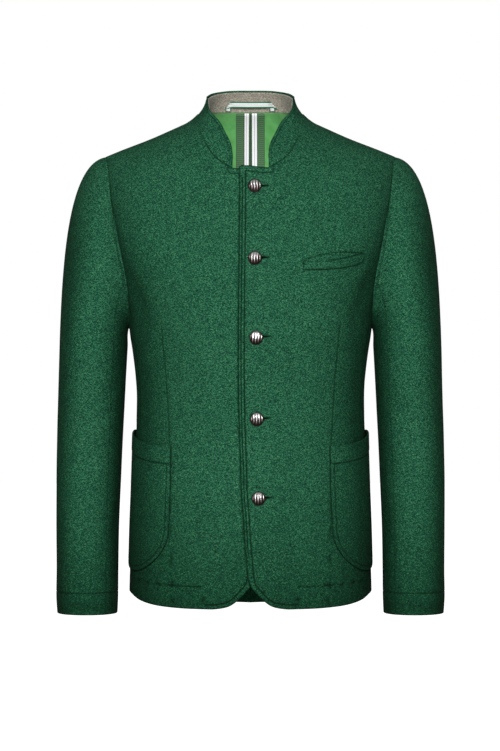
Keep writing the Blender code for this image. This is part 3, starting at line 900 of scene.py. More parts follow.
def wool_look():
    """Boiled wool: deep green with matted fleck, with painted shade in seams and sewn grooves, at the sides
    turned away from view and towards the hem.
    """
    look, tree, shader = new_look("boiled_wool", Specular_IOR_Level=0.08)
    felted = fibre(tree, 580.0, 1.5)
    colour = ramp(tree, felted["Fleck"], WOOL_STOPS)
    shade = scaled(tree, felted["Tone"], 0.26, 0.88)
    shade = maths(tree, "MULTIPLY", shade, scaled(tree, felted["Fine"], 0.5, 0.75))
    # Painted shade in seams and sewn grooves
    sewn = maths(tree, "MULTIPLY", attribute(tree, "sewn"), PAINTED_SEAM_DARKNESS)
    shade = maths(tree, "MULTIPLY", shade, maths(tree, "SUBTRACT", 1.0, sewn, clamp=True))
    height = put(tree, "SeparateXYZ", {0: put(tree, "TexCoord").outputs["Object"]}).outputs[2]
    # Painted shade where the cloth turns away from view, mostly below the chest
    turned_away = put(tree, "LayerWeight", {"Blend": 0.5}).outputs["Facing"]
    below_chest = put(tree, "MapRange", {0: height, 1: -0.10, 2: -0.23, 3: 0.15, 4: 1.0}).outputs[0]
    facing = maths(tree, "SUBTRACT", 1.0, maths(tree, "MULTIPLY", turned_away, below_chest))
    shade = maths(tree, "MULTIPLY", shade, maths(tree, "MAXIMUM", facing, SIDE_SHADE))
    # Painted shade that deepens towards the hem and the cuffs
    over_hem = put(tree, "MapRange", {0: height, 1: -0.70, 2: -0.52, 3: 0.0, 4: 1.0}).outputs[0]
    over_hem = scaled(tree, maths(tree, "POWER", over_hem, 0.6), 1 - HEM_SHADE, HEM_SHADE)
    shade = maths(tree, "MULTIPLY", shade, over_hem)
    # The shade darkens red and blue faster than green, so deep painted shade turns greener
    red, blue = maths(tree, "POWER", shade, 1.6), maths(tree, "POWER", shade, 1.2)
    grey = put(tree, "CombineColor", {0: red, 1: shade, 2: blue}).outputs[0]
    colour = mixed(tree, 1.0, colour, grey, "MULTIPLY")
    rough = scaled(tree, felted["Fine"], 0.12, 0.84)
    give(tree, shader, colour, felted["Height"], 0.55, 0.0007, rough)
    return look


def felt_look():
    """Taupe undercollar felt with a fine melange, and painted shade along its sewn lines and its seam."""
    look, tree, shader = new_look("collar_felt", Sheen_Weight=0.08, Specular_IOR_Level=0.2, Roughness=0.93)
    felted = fibre(tree, 520.0, 1.2)
    # Painted shade along the facing's sewn lines and its seam
    painted_shade = maths(tree, "MULTIPLY", attribute(tree, "sewn"), 0.35, clamp=True)
    colour = mixed(tree, painted_shade, ramp(tree, felted["Fleck"], FELT_STOPS), FELT_SEAM_SHADE)
    give(tree, shader, colour, felted["Height"], 0.5, 0.0004)
    return look


def lining_look():
    """Light green lining with a fine weave and a slight sheen."""
    look, tree, shader = new_look("green_lining", Roughness=0.5, Sheen_Weight=0.15)
    where = put(tree, "TexCoord").outputs["Object"]
    broad = noise_of(tree, 60.0, 3.0, Vector=where)
    thread = noise_of(tree, 1500.0, Vector=where)
    height = maths(tree, "ADD", maths(tree, "MULTIPLY", broad, 2.0), maths(tree, "MULTIPLY", thread, 0.3))
    give(tree, shader, ramp(tree, broad, LINING_STOPS), height, 0.35, 0.0006)
    return look


def banded(tree, across, edges):
    """A mask that is 1 between each pair of places across a band, in millimetres."""
    mask = None
    for low, high in edges:
        past, before = maths(tree, "GREATER_THAN", across, low), maths(tree, "LESS_THAN", across, high)
        inside = maths(tree, "MULTIPLY", past, before)
        mask = inside if mask is None else maths(tree, "MAXIMUM", mask, inside)
    return mask


def ribbon_look():
    """Olive herringbone ribbon with two white stripes, each with a fine grey line."""
    look, tree, shader = new_look("back_ribbon_weave", Roughness=0.7)
    across, rib = ribs(tree, 2.9, 0.35)
    noise = noise_of(tree, 700.0)
    # The olive is lighter on the ribs and darker between them: painted shade of the weave
    tone = maths(tree, "ADD", maths(tree, "MULTIPLY", rib, 0.6), maths(tree, "MULTIPLY", noise, 0.5))
    colour = mixed(tree, banded(tree, across, RIBBON_DARK), ramp(tree, tone, OLIVE_STOPS), RIBBON_SHADE)
    colour = mixed(tree, banded(tree, across, RIBBON_WHITE), colour, ramp(tree, noise, WHITE_STOPS))
    colour = mixed(tree, banded(tree, across, RIBBON_GREY), colour, RIBBON_LINE)
    give(tree, shader, colour, rib, 0.5, 0.00025)
    return look


def tape_look():
    """Woven loop tape: green edges, white and grey middle."""
    look, tree, shader = new_look("loop_tape_weave", Roughness=0.7)
    across, rib = ribs(tree, 1.0, 0.0)
    green = ramp(tree, noise_of(tree, 900.0), TAPE_STOPS)
    colour = mixed(tree, banded(tree, across, TAPE_WHITE), green, TAPE_MIDDLE)
    colour = mixed(tree, banded(tree, across, TAPE_GREY), colour, TAPE_LINE)
    give(tree, shader, colour, rib, 0.5, 0.0002)
    return look


def thread_look(name, dark, light):
    """Sewing thread, between two colours; the same look also makes the buttonhole slits' painted shade."""
    look, tree, shader = new_look(name, Roughness=0.9, Specular_IOR_Level=0.1)
    noise = noise_of(tree, 1400.0)
    give(tree, shader, ramp(tree, noise, ((0.3, dark), (0.7, light))), noise, 0.3, 0.0002)
    return look


def metal_look():
    """Antique silver: patina leaves it bright on the ridges and dark brown in the flutes; painted light makes
    it lighter towards the top, and painted shade darkens its sides and rim.
    """
    look, tree, shader = new_look("antique_silver", Metallic=1.0)
    noise = noise_of(tree, 420.0, 4.0)
    wear = maths(tree, "MULTIPLY", maths(tree, "SUBTRACT", noise, 0.5), 0.5)
    colour = ramp(tree, maths(tree, "ADD", attribute(tree, "patina_and_painted_light"), wear), METAL_STOPS)
    # Painted shade: dark brown round the rim
    colour = mixed(tree, attribute(tree, "rim"), colour, METAL_RIM_SHADE)
    give(tree, shader, colour, noise, 0.25, 0.0003, scaled(tree, noise, 0.2, 0.3))
    return look


# Colours along each ramp
WOOL_STOPS = (
    (0.435, srgb(4, 28, 18)),
    (0.50, srgb(18, 63, 45)),
    (0.555, srgb(33, 94, 68)),
    (0.63, srgb(76, 128, 88)),
)
FELT_STOPS = (
    (0.40, srgb(90, 90, 80)),
    (0.47, srgb(130, 126, 114)),
    (0.53, srgb(142, 138, 124)),
    (0.62, srgb(180, 170, 158)),
)
LINING_STOPS = ((0.3, srgb(76, 148, 76)), (0.7, srgb(104, 178, 102)))
OLIVE_STOPS = ((0.15, srgb(38, 76, 42)), (0.9, srgb(82, 122, 84)))
WHITE_STOPS = ((0.2, srgb(226, 228, 230)), (0.8, srgb(247, 247, 248)))
TAPE_STOPS = ((0.2, srgb(22, 78, 50)), (0.8, srgb(48, 112, 76)))
METAL_STOPS = ((0.2, srgb(52, 42, 40)), (0.5, srgb(134, 126, 122)), (0.85, srgb(246, 244, 244)))

FELT_SEAM_SHADE = srgb(98, 92, 78)
RIBBON_SHADE = srgb(44, 76, 46)
RIBBON_LINE = srgb(176, 180, 184)
TAPE_MIDDLE = srgb(232, 234, 234)
TAPE_LINE = srgb(140, 150, 146)
METAL_RIM_SHADE = srgb(44, 34, 33)

# Painted shade: how much darker the wool is in a seam, and how much of its colour is left at its sides and
# its hem
PAINTED_SEAM_DARKNESS = 0.78
SIDE_SHADE = 0.5
HEM_SHADE = 0.43

# Across the ribbon and the tape, in millimetres
RIBBON_WHITE = ((-9.1, -2.8), (2.7, 10.0))
RIBBON_GREY = ((-7.0, -6.2), (6.0, 6.8))
RIBBON_DARK = ((-10.4, -9.0), (-2.9, 2.8), (9.9, 11.4))
TAPE_WHITE = ((-2.4, 2.4),)
TAPE_GREY = ((-1.4, -0.5), (0.5, 1.4))

FELTED = felted_group()
RIB = rib_group()
WOOL_LOOK = wool_look()
FELT_LOOK = felt_look()
LINING_LOOK = lining_look()
RIBBON_LOOK = ribbon_look()
TAPE_LOOK = tape_look()
METAL_LOOK = metal_look()
# The edge thread is coloured as dark as the painted shade of its grooves
THREAD_LOOK = thread_look("green_thread", srgb(3, 18, 12), srgb(14, 46, 32))
HOLE_LOOK = thread_look("buttonhole_thread", srgb(16, 62, 42), srgb(34, 96, 66))
# The buttonhole slit is a dark sheet of painted shade laid over the opening
SLIT_SHADE_LOOK = thread_look("painted_slit_shade", srgb(8, 26, 18), srgb(12, 36, 26))


# Pieces of the body


def hem_sewing(turn, z):
    """Height over the hem's sewing line, in millimetres."""
    rise = HEM_RISE[0] + (HEM_RISE[1] - HEM_RISE[0]) * ease((np.abs(turn) - 38) / 30)
    return z - curve(HEM_LINE, np.abs(turn)) - rise


def second_line(z):
    """How far the edge's second line lies from the edge, which runs on as the hem's line."""
    return HEM_STITCH + (EDGE_LINES[1] - HEM_STITCH) * ease((z + 690) / 70)


# Lengths along and up the pieces, with marked stretches as start, end and step
FRONT_WIDE = 185
FRONT_TALL = 640
FRONT_COLUMNS = ((1.5, 9.5, 0.5), (22, 40, 0.8), (126, 150, 0.9))
HEM_ROWS = ((2, 9, 1.0), (33, 41, 0.8))


def front_rows(lines):
    """Shares up the front, close at the hem, the buttonholes and the breast pocket."""
    v = np.linspace(0, 1, 300)
    heights = []
    for share in (0.17, 0.5, 0.92):
        turn, level = body_grid(lines, np.array([share]), v)
        heights.append(form(turn, level)[:, 0, 2] / MM)
    holes = [np.interp(z, heights[0], v) * FRONT_TALL for _x, z in BUTTONS]
    marks = [(at - 3, at + 5, 0.5) for at in holes]
    slit_ends = [np.interp(z, heights[k], v) * FRONT_TALL for z, k in ((-229, 1), (-200, 2))]
    return spread(FRONT_TALL, (*marks, (2, 9, 0.6), (30, 40, 0.7), (*sorted(slit_ends), 0.9)), fine=0.8)


def buttonhole(x, z):
    """How far open each buttonhole's slit is at a place, from 0 to 1, and how near its lips."""
    inside, lips = np.zeros(np.shape(x)), np.zeros(np.shape(x))
    for at, height in BUTTONS:
        along = np.clip((x - at - 5.5) / (BUTTONHOLE - 4.5), 0, 1)
        half = 1.45 * (1 - along) ** 0.7 + 0.4
        off = np.abs(z - height - 0.9 - 0.9 * along) - half
        ends = ease((x - at - 5.0) / 1.0) * ease((at + BUTTONHOLE + 1.5 - x) / 1.0)
        inside = np.maximum(inside, ease(0.5 - off / 0.5) * ends)
        lips = np.maximum(lips, np.exp(-(((off - 0.9) / 0.8) ** 2)) * ends)
    return inside, lips


DARKEST = 1.28  # as much painted seam shade as takes all of the wool's light


def seam_depth(z, fade):
    """How open a seam looks, in rounding and painted shade: 1 below a height, less above it."""
    return 0.18 + 0.55 * ease(z / fade)


def breast_slit(x, z):
    """How far the cloth sinks in the breast pocket's slit, and how much painted shade lies along its edge and
    the welt's.
    """
    cut, top = curve(WELT, x, 1), curve(WELT, x, 2)
    inside = ease((cut - z) / 1.0 + 0.5) * ease((z - top + 8) / 1.0)
    inside = inside * ease((x - 73) / 1.5) * ease((159.5 - x) / 1.5)
    slit_line = groove(z - cut, 0.85, 1.1)
    welt_line = groove(z - top - 0.9, 0.8, 1.2) * (0.15 + 0.85 * ease((x - 95) / 40))
    ends = ease((x - 72) / 2) * ease((162 - x) / 2)
    return 0.6 * inside, np.maximum(slit_line, welt_line) * ends


def front(hand):
    """A front with its edge and hem sewing, dart and, on the wearer's left, the slit of the welt."""
    lines = front_lines()
    columns = spread(FRONT_WIDE, FRONT_COLUMNS)
    rows = front_rows(lines)
    turn, level = body_grid(lines, columns, rows)
    p, n = form(turn, level, hand), normal(form, turn, level, hand)
    if hand > 0:
        p = p + n * lift(p[..., 0])[..., None]
        raised = 3.0 * ease((p[..., 2] / MM + 96) / 12) * ease((26 - p[..., 0] / MM) / 34)
        p[..., 2] += raised * MM
    x, z = p[..., 0] / MM, p[..., 2] / MM
    edge_rows = rows <= COLLAR_END
    off = near(p, [p[0], p[edge_rows, 0]])
    second = groove(off - second_line(z), 1.0, 0.9)
    to_edge = np.where(x < HEM_START, 1.0, ease((HEM_START + 2 - x) / 2))
    upright = ease((z + 650) / 40)
    first = groove(off - EDGE_LINES[0], 1.0, 0.9) * upright * ease((-94 - z) / 4)
    drop = 0.5 * first + 0.7 * second * to_edge
    # Painted shade darkens each sewn groove: the edge lines, the hem, its step and the dart
    painted_shade = 1.05 * first + 1.1 * second * to_edge
    past = ease((x - HEM_START + 1) / 2)
    hem = hem_sewing(turn, z)
    drop += groove(hem, 0.5) * past
    painted_shade += groove(hem, 1.05, 0.9) * past
    step = ease((-hem + 1) / 2) * ease((off - 5) / 2)
    drop += groove(x - HEM_START, 0.4) * step
    painted_shade += groove(x - HEM_START, 1.0, 0.9) * step
    dart = x - curve(DART, z)
    shown = ease((-z - 288) / 24)
    drop += groove(dart, 0.6, 0.9) * shown
    painted_shade += groove(dart, 0.8, 0.9) * shown
    if hand > 0:
        inside, lips = buttonhole(x, z)
        drop += 1.5 * inside - 0.25 * lips
        # The buttonhole's opening is painted fully dark as shade, its lips a little
        painted_shade = np.maximum(painted_shade, np.maximum(DARKEST * inside, 0.2 * lips))
        # Painted shade along the edge from the top corner to the collar
        top = near(p, [p[edge_rows & (rows > EDGE_END), 0]])
        painted_shade = np.maximum(painted_shade, 0.9 * np.exp(-((top / 2.0) ** 2)))
        sunk, edges = breast_slit(x, z)
        drop += sunk
        # Painted shade along the slit's edge and the welt's top
        painted_shade += edges
    seams = [p[:, -1], p[-1], p[~edge_rows, 0]]
    crisp = np.where(near(p, [p[~edge_rows, 0]]) < 6, seam_depth(z + 22, -36), 1.0)
    to_sleeve = near(p, [p[level[:, -1] > armhole(SIDE_SEAM)[1], -1]])
    low_arm = ease((-z - 110) / 90)
    crisp = np.where(to_sleeve < 6, 0.25 + 0.75 * low_arm, crisp)
    drop += 1.1 * np.exp(-((to_sleeve / 3.5) ** 2)) * low_arm
    # Painted shade on the body beside the armhole
    painted_shade = np.maximum(painted_shade, 0.3 * np.exp(-to_sleeve / 6) * low_arm)
    # Painted shade along the front's edge and hem edge
    painted_shade = np.maximum(painted_shade, np.exp(-((off / 1.3) ** 2)) * (0.3 + 0.7 * upright))
    if hand < 0:
        # Painted shadow that the lapping front's edge casts on the under-front
        under = near(p * (-1, 1, 1), [FRONT_EDGE_LINE])
        painted_shade = np.maximum(painted_shade, 0.9 * np.exp(-((under / 1.7) ** 2)))
    painted_shade = np.clip(painted_shade, 0, DARKEST)
    name = f"front_{SIDES[hand]}"
    piece = shell(name, p, n, WOOL, WOOL_LOOK, hand, drop, painted_shade, seams, crisp=crisp)
    return piece, p, n


LONG_SEAM = 0.45  # how much the long seams of back and sleeve show, in rounding and painted shade


def flank(hand):
    """A side panel."""
    grid = patch(side_lines(), spread(95, fine=0.9), spread(395, HEM_ROWS, fine=0.9))
    turn, level = grid[..., 0], grid[..., 1]
    p, n = form(turn, level, hand), normal(form, turn, level, hand)
    hem = hem_sewing(turn, p[..., 2] / MM)
    seams = [p[:, 0], p[:, -1], p[-1]]
    # Painted shade in the hem's sewn groove
    drop, painted_shade = groove(hem, 0.5), groove(hem, 0.9)
    shell(f"side_{SIDES[hand]}", p, n, WOOL, WOOL_LOOK, hand, drop, painted_shade, seams)


def back(hand):
    """A back, with the centre seam at one side."""
    columns, rows = spread(165, fine=0.9), spread(700, HEM_ROWS, fine=0.9)
    turn, level = body_grid(back_lines(), columns, rows, back=True)
    p, n = form(turn, level, hand), normal(form, turn, level, hand)
    hem = hem_sewing(turn, p[..., 2] / MM)
    seams = [p[:, 0], p[:, -1], p[-1]]
    crisp = np.where(near(p, seams[:2]) < 4, LONG_SEAM, 1.0)
    # Painted shade in the hem's sewn groove
    drop, painted_shade = groove(hem, 0.5), groove(hem, 0.9)
    shell(f"back_{SIDES[hand]}", p, n, WOOL, WOOL_LOOK, hand, drop, painted_shade, seams, crisp=crisp)


def sleeve_pieces(hand):
    """The top and under sleeve."""
    head = spread(285, ((0, 7, 0.6),), fine=0.8)
    low = spread(386, ((28, 34, 0.8), (383, 386, 1.0)), fine=0.9)[::-1]
    along = np.unique(np.round(np.concatenate([head, 2 - low]), 6))
    along = along[(along < 0.997) | (along > 1.003)]
    for name, start, stop, width in (
        ("sleeve_top", SLEEVE_BACK - 360, SLEEVE_FRONT, 235),
        ("sleeve_under", SLEEVE_FRONT, SLEEVE_BACK, 130),
    ):
        rounds = start + (stop - start) * spread(width, fine=0.9, coarse=5.0)
        a, b = np.meshgrid(rounds, along)
        p, n = sleeve(a, b, hand), normal(sleeve, a, b, hand)
        far = np.linalg.norm(p - p[:1], axis=-1, keepdims=True) / MM
        body = normal(form, *armhole(a), hand)
        n = unit(body * (1 - ease(far / 9)) + n * ease(far / 9))
        to_body = near(p, [p[0]])
        from_top = np.abs(np.mod(a + 180, 360) - 180)
        shown = ease((from_top - 12) / 30) * ease((150 - from_top) / 30)
        puff = np.exp(-(((to_body - 3.5) / 3) ** 2)) * shown
        p = p + n * puff[..., None] * MM
        crisp = np.where(to_body < 6, 0.25 + 0.75 * shown, 1.0)
        sewing = p[..., 2] / MM - SLEEVE[-1][0] - CUFF_RISE
        seams = [p[:, 0], p[:, -1], p[0]]
        # Painted shade in the cuff's sewn groove
        drop, painted_shade = groove(sewing, 0.45), groove(sewing, 0.8)
        crisp = np.where(near(p, seams[:2]) < 4, np.minimum(crisp, LONG_SEAM), crisp)
        shell(f"{name}_{SIDES[hand]}", p, n, WOOL, WOOL_LOOK, hand, drop, painted_shade, seams, crisp=crisp)


# Collar, its facing and the loop


def neck_ring():
    """The whole neckline from the left front end round the back to the right, with places and sides."""
    lines = np.concatenate([neck_front(), neck_back()[1:]])
    count = 6 * STEPS + 1
    keep = np.unique([*range(0, count, 6), *range(count - 1, len(lines), 5), len(lines) - 1])
    at = np.concatenate([np.linspace(0, 1, count), np.linspace(1, 2, len(lines) - count + 1)[1:]])
    half = form(lines[:, 0], lines[:, 1])
    left = half.copy()
    front_part = slice(0, count - 1)
    raised = normal(form, lines[front_part, 0], lines[front_part, 1])
    left[front_part] += raised * lift(half[front_part, 0])[:, None]
    p = np.concatenate([left[keep], half[keep][-2::-1] * (-1, 1, 1)])
    side = np.concatenate([np.ones(len(keep)), -np.ones(len(keep) - 1)])
    return p, np.concatenate([at[keep], at[keep][-2::-1]]), side


def collar_grid(up, out):
    """A grid of the collar's outer face at shares of its height, moved out, with its normals."""
    base, at, side = neck_ring()
    lean, back_, rise = (curve(COLLAR, at, k) for k in (1, 2, 3))
    way = np.stack([-lean * side, back_, rise], -1) * MM
    v = up[:, None, None]
    p = base[None] + v * way[None]
    n = unit(np.cross(np.gradient(base, axis=0), way))
    bulge = 1.5 - 4.0 * np.exp(-(((at - 0.95) / 0.35) ** 2))
    p = p + unit(way)[None] * CLOSE * MM + n[None] * (out + bulge[None, :, None] * np.sin(v * math.pi)) * MM
    return p, np.broadcast_to(n[None], p.shape)


def collar():
    """The stand collar and its felt facing, which is given back."""
    up = spread(31, ((25, 29, 0.4),), fine=0.7, coarse=1.6)
    p, n = collar_grid(up, 0)
    off = near(p, [p[-1], p[:, 0], p[:, -1]])
    drop, painted_shade = groove(off - COLLAR_LINE, 0.4), groove(off - COLLAR_LINE, 0.8)
    # Painted shade along the sewn line and the collar's free edges
    painted_shade = np.maximum(painted_shade, 0.7 * np.exp(-((off / 0.9) ** 2)))
    crisp = np.where(near(p, [p[0]]) < 4, seam_depth(p[..., 2] / MM + 22, -36), 1.0)
    shell("collar", p, n, WOOL, WOOL_LOOK, 1, drop, painted_shade, [p[0]], crisp=crisp)
    inside = -0.02 + 0.95 * spread(28, ((19, 27, 0.45),), fine=0.7, coarse=1.6)
    q, m = collar_grid(inside, -WOOL - 0.45)
    q, m = q[:, 2:-2], m[:, 2:-2]
    facing = shell("collar_facing", q, m, FELT, FELT_LOOK, 1, 0.0, 0.0, [q[0]], round_=0.8)
    from_top = (0.93 - inside) * 31
    # Painted shade along the facing's sewn lines
    lines = sum(groove(from_top - k, 1.0, 0.5) for k in FACING_LINES)
    lines = np.broadcast_to(lines[:, None], q.shape[:2]).ravel()
    values = np.concatenate([0 * lines, lines]).astype(np.float32)
    facing.data.attributes["sewn"].data.foreach_set("value", values)
    return facing


def loop(facing):
    """The hanger loop: a flat tape whose slanted folds turn down into two short ends."""
    tree = tree_of(facing)
    cross = spread(LOOP_HIGH - LOOP_LOW, fine=0.5, coarse=0.8)[:, None]
    share = spread(78, ((0, 9, 0.6), (69, 78, 0.6)), fine=0.6, coarse=2)[None]
    start = LOOP_LEFT[0] + (LOOP_LEFT[1] - LOOP_LEFT[0]) * cross
    stop = LOOP_RIGHT[0] + (LOOP_RIGHT[1] - LOOP_RIGHT[0]) * cross
    x = start + (stop - start) * share
    low = LOOP_LOW - 2.6 * sum(np.exp(-(((share - end) / 0.07) ** 2)) for end in (0, 1))
    z = low + (LOOP_HIGH - low) * cross
    sag = 1.2 * np.sin(math.pi * share) + 0 * x
    tape("hanger_loop", tree, x, z, 0.6 + sag, LOOP_WIDE * (cross - 0.5) + 0 * x, x)
    for name, (left, right) in LOOP_ENDS.items():
        x = left + (right - left) * spread(9, fine=0.5, coarse=0.8)
        x, z = np.meshgrid(x, LOOP_END_FOOT + LOOP_END_LENGTH * np.linspace(0, 1, 12))
        tape(name, tree, x, z, 0.3, x - (left + right) / 2, z)


FACING_AWAY = Vector((0, 0.055, 0))


def tape(name, tree, x, z, away, across, along):
    """A strip of the loop's tape lying in front of the collar's facing."""
    y = np.zeros(x.shape)
    for i in range(x.shape[0]):
        for j in range(x.shape[1]):
            start = Vector((x[i, j] * MM, 0, max(z[i, j], FACING_FOOT) * MM))
            hit = tree.ray_cast(start, (0, 1, 0))[0] or tree.find_nearest(start + FACING_AWAY)[0]
            y[i, j] = hit.y / MM
    y = y.min(0, keepdims=True) + 0 * y
    p = np.stack([x, y - away - TAPE, z], -1) * MM
    n = np.broadcast_to(np.array([0.0, -1.0, 0.0]), p.shape)
    marks = {"across": across, "along": along}
    shell(name, p, n, TAPE, TAPE_LOOK, marks=marks, round_=0.4)


# Pockets


def pocket(hand):
    """A patch pocket with a folded band at its mouth, standing off the body there."""
    u = spread(215, ((4, 10, 0.6), (205, 211, 0.6)), fine=0.8)
    turn = POCKET_FRONT + (POCKET_BACK - POCKET_FRONT) * u
    top = POCKET_MOUTH + 20 * ease(u * 1.1)
    into_corners = np.clip((0.38 - u) / 0.38, 0, 1), np.clip((u - 0.40) / 0.60, 0, 1)
    low = POCKET_FOOT
    for into, tall in zip(into_corners, POCKET_CORNERS):
        low = low + tall * (1 - np.sqrt(1 - into**2 * 0.999))
    v = spread(185, ((4, 10, 0.6), (157, 163, 0.5), (180, 185, 0.6)), fine=0.8)[:, None]
    z = low + (top - low) * v
    hem = curve(HEM_LINE, turn)
    level = (z - hem) / (UNDERARM - hem)
    turn = np.broadcast_to(turn, level.shape)
    rise = np.clip(v, 0, 1)
    puff = np.clip(np.sin(np.pi * u), 0, 1) ** 0.7 * (1 - (1 - rise) ** 2.5) * (0.55 + 0.45 * rise)
    p, n = form(turn, level, hand), normal(form, turn, level, hand)
    p = p + n * ((OVER + 2.9 * puff + WOOL) * MM)[..., None]
    sewn_on = [p[0], p[:, 0], p[:, -1]]
    off = near(p, sewn_on)
    below = top - z - POCKET_BAND
    band = 0.5 * ease(-below / 2 + 0.5)
    in_band = ease(-below + 0.5)
    drop = groove(off - POCKET_LINE, 0.35) * (1 - in_band) + groove(below, 0.55, 0.9) - band
    # Painted shade in the sewing and along the pocket's sewn-on edges
    painted_shade = groove(off - POCKET_LINE, 0.95) * (1 - in_band) + groove(below, 1.0, 0.9)
    painted_shade = np.maximum(painted_shade, 0.8 * np.exp(-((off / 1.3) ** 2)))
    painted_shade = np.clip(painted_shade, 0, 1)
    piece = shell(f"pocket_{SIDES[hand]}", p, n, WOOL, WOOL_LOOK, hand, drop, painted_shade, sewn_on)
    return piece, p


def welt():
    """The welt of the slit breast pocket, which gapes a little along its top."""
    share = spread(87, fine=0.8, coarse=3)
    x = WELT_START + WELT_WIDE * share
    low, high = curve(WELT, x, 3), curve(WELT, x, 2)
    v = spread(11, fine=0.7, coarse=1.5)[:, None]
    z = low + (high - low) * v
    turn, level = place(np.broadcast_to(x, z.shape), z)
    p, n = form(turn, level), normal(form, turn, level)
    gape = 1.2 * np.sin(math.pi * np.clip(share, 0, 1)) * np.clip(v, 0, 1) ** 2
    p = p + n * (lift(p[..., 0]) + (OVER + 2.0 + gape) * MM)[..., None]
    seams = [p[0], p[:, 0], p[:, -1]]
    off = near(p, seams)
    # Painted shade in the welt's sewn groove
    drop, painted_shade = groove(off - 2.0, 0.25), groove(off - 2.0, 0.3)
    shell("breast_welt", p, n, 2.0, WOOL_LOOK, 1, drop, painted_shade, seams)


# Lining and ribbon


def lining(hand):
    """Half of the back's lining, which ripples a little below the neck."""
    u = 0.1 + 0.9 * spread(150, fine=0.9, coarse=4)
    v = (7 + 15 * spread(480, fine=0.9, coarse=4)) / 22
    turn, level = body_grid(back_lines(), u, v, back=True)
    p, n = form(turn, level, hand), normal(form, turn, level, hand)
    x, z = p[..., 0] / MM, p[..., 2] / MM
    ripple = 0.14 * np.sin(z / 9.0 + 0.8 * np.sin(x / 17.0))
    ripple = ripple * np.exp(-(((z + 30) / 60) ** 2)) * ease((x - 20) / 12)
    p = p - n * ((WOOL + SEAM + 0.15 - ripple) * MM)[..., None]
    shell(f"lining_{SIDES[hand]}", p, n, LINING, LINING_LOOK, hand, round_=0.5)


def ribbon():
    """The ribbon down the middle of the lining, its face towards the inside."""
    across, along = np.meshgrid(np.linspace(*RIBBON_X, 43), np.linspace(*RIBBON_Z, 120))
    turn, level = place(across, along, back=True)
    inward = -normal(form, turn, level)
    p = form(turn, level) + inward * (WOOL + SEAM + LINING + 0.7 + RIBBON) * MM
    marks = {"across": across, "along": along}
    shell("back_ribbon", p, inward, RIBBON, RIBBON_LOOK, marks=marks, round_=0.4)


# Buttons and buttonholes

# The purl stitches of a buttonhole: where they start, their steps, distance from its middle and length
PURL_START = 4.0
PURL_STEP = 0.62
PURL_OFF = 0.75
PURL_LONG = 1.25


def front_edge_line():
    """The lapping front's edge as it lies on the other front."""
    edge = front_lines()[2][: 13 * STEPS + 1]
    return form(edge[:, 0], edge[:, 1])


def frame_at(x, z):
    """A point on the lapping front with the ways across, up and out."""
    turn, level = place(np.array(x, float), np.array(z, float))
    p, n = form(turn, level), normal(form, turn, level)
    across = unit(np.cross(n, (0, 0, 1)))
    if across[0] < 0:
        across = -across
    up = np.cross(n, across)
    return p, across, (up if up[2] > 0 else -up), n


# radius, height over the form: first the shank, then the rim and the dome
BUTTON_PROFILE = (
    (1.6, 0.3),
    (1.6, 3.7),
    (8.4, 3.7),
    (9.2, 3.9),
    (9.7, 4.3),
    (9.8, 4.8),
    (9.6, 5.3),
    (9.1, 5.7),
    (8.8, 5.75),
    (8.3, 6.2),
    (7.4, 6.9),
    (6.2, 7.6),
    (4.8, 8.2),
    (3.3, 8.6),
    (1.7, 8.85),
    (0.3, 8.9),
)


BUTTON_SIDES = 72


def button(k):
    """A domed metal button with upright flutes inside a plain rim, on its shank."""
    centre, across, up, out = frame_at(*BUTTONS[k])
    rings = [*BUTTON_PROFILE[:3], *smooth_line(BUTTON_PROFILE[3:], 26)]
    a = np.arange(BUTTON_SIDES) / BUTTON_SIDES * 2 * math.pi
    points, patina_and_painted_light, rim = [], [], []
    for r, h in rings:
        x, y = r * np.cos(a), r * np.sin(a)
        bend = 0.55 * np.sin(y * 0.42 + 1.7 * k)
        wave = np.cos(x * 1.53 + 0.9 + bend) + 0.4 * np.cos(x * 3.4 + 2.1 * k - bend)
        height = h + 0.42 * wave * ease((8.7 - r) / 0.6) * (h > 5.0)
        points.append(centre + (x[:, None] * across + y[:, None] * up + height[:, None] * out) * MM)
        # Patina and painted light: bright ridges, dark flutes, lighter towards the top and darker towards the
        # sides
        patina_and_painted_light.append(0.5 + 0.36 * wave + 0.07 * y - 0.02 * abs(x + 1))
        # Painted shade: dark brown towards the dome's rim and all over the shank
        rim.append(np.full(BUTTON_SIDES, ease((r - 7.4) / 1.6) if h > 4.0 else 1.0))
    name = f"button_{k + 1}"
    faces, marks = ring_faces(len(rings), BUTTON_SIDES), {"patina_and_painted_light": patina_and_painted_light, "rim": rim}
    obj = new_mesh(name, np.concatenate(points), faces, METAL_LOOK, marks)
    obj.data.set_sharp_from_angle(angle=math.radians(50))
    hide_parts(name)


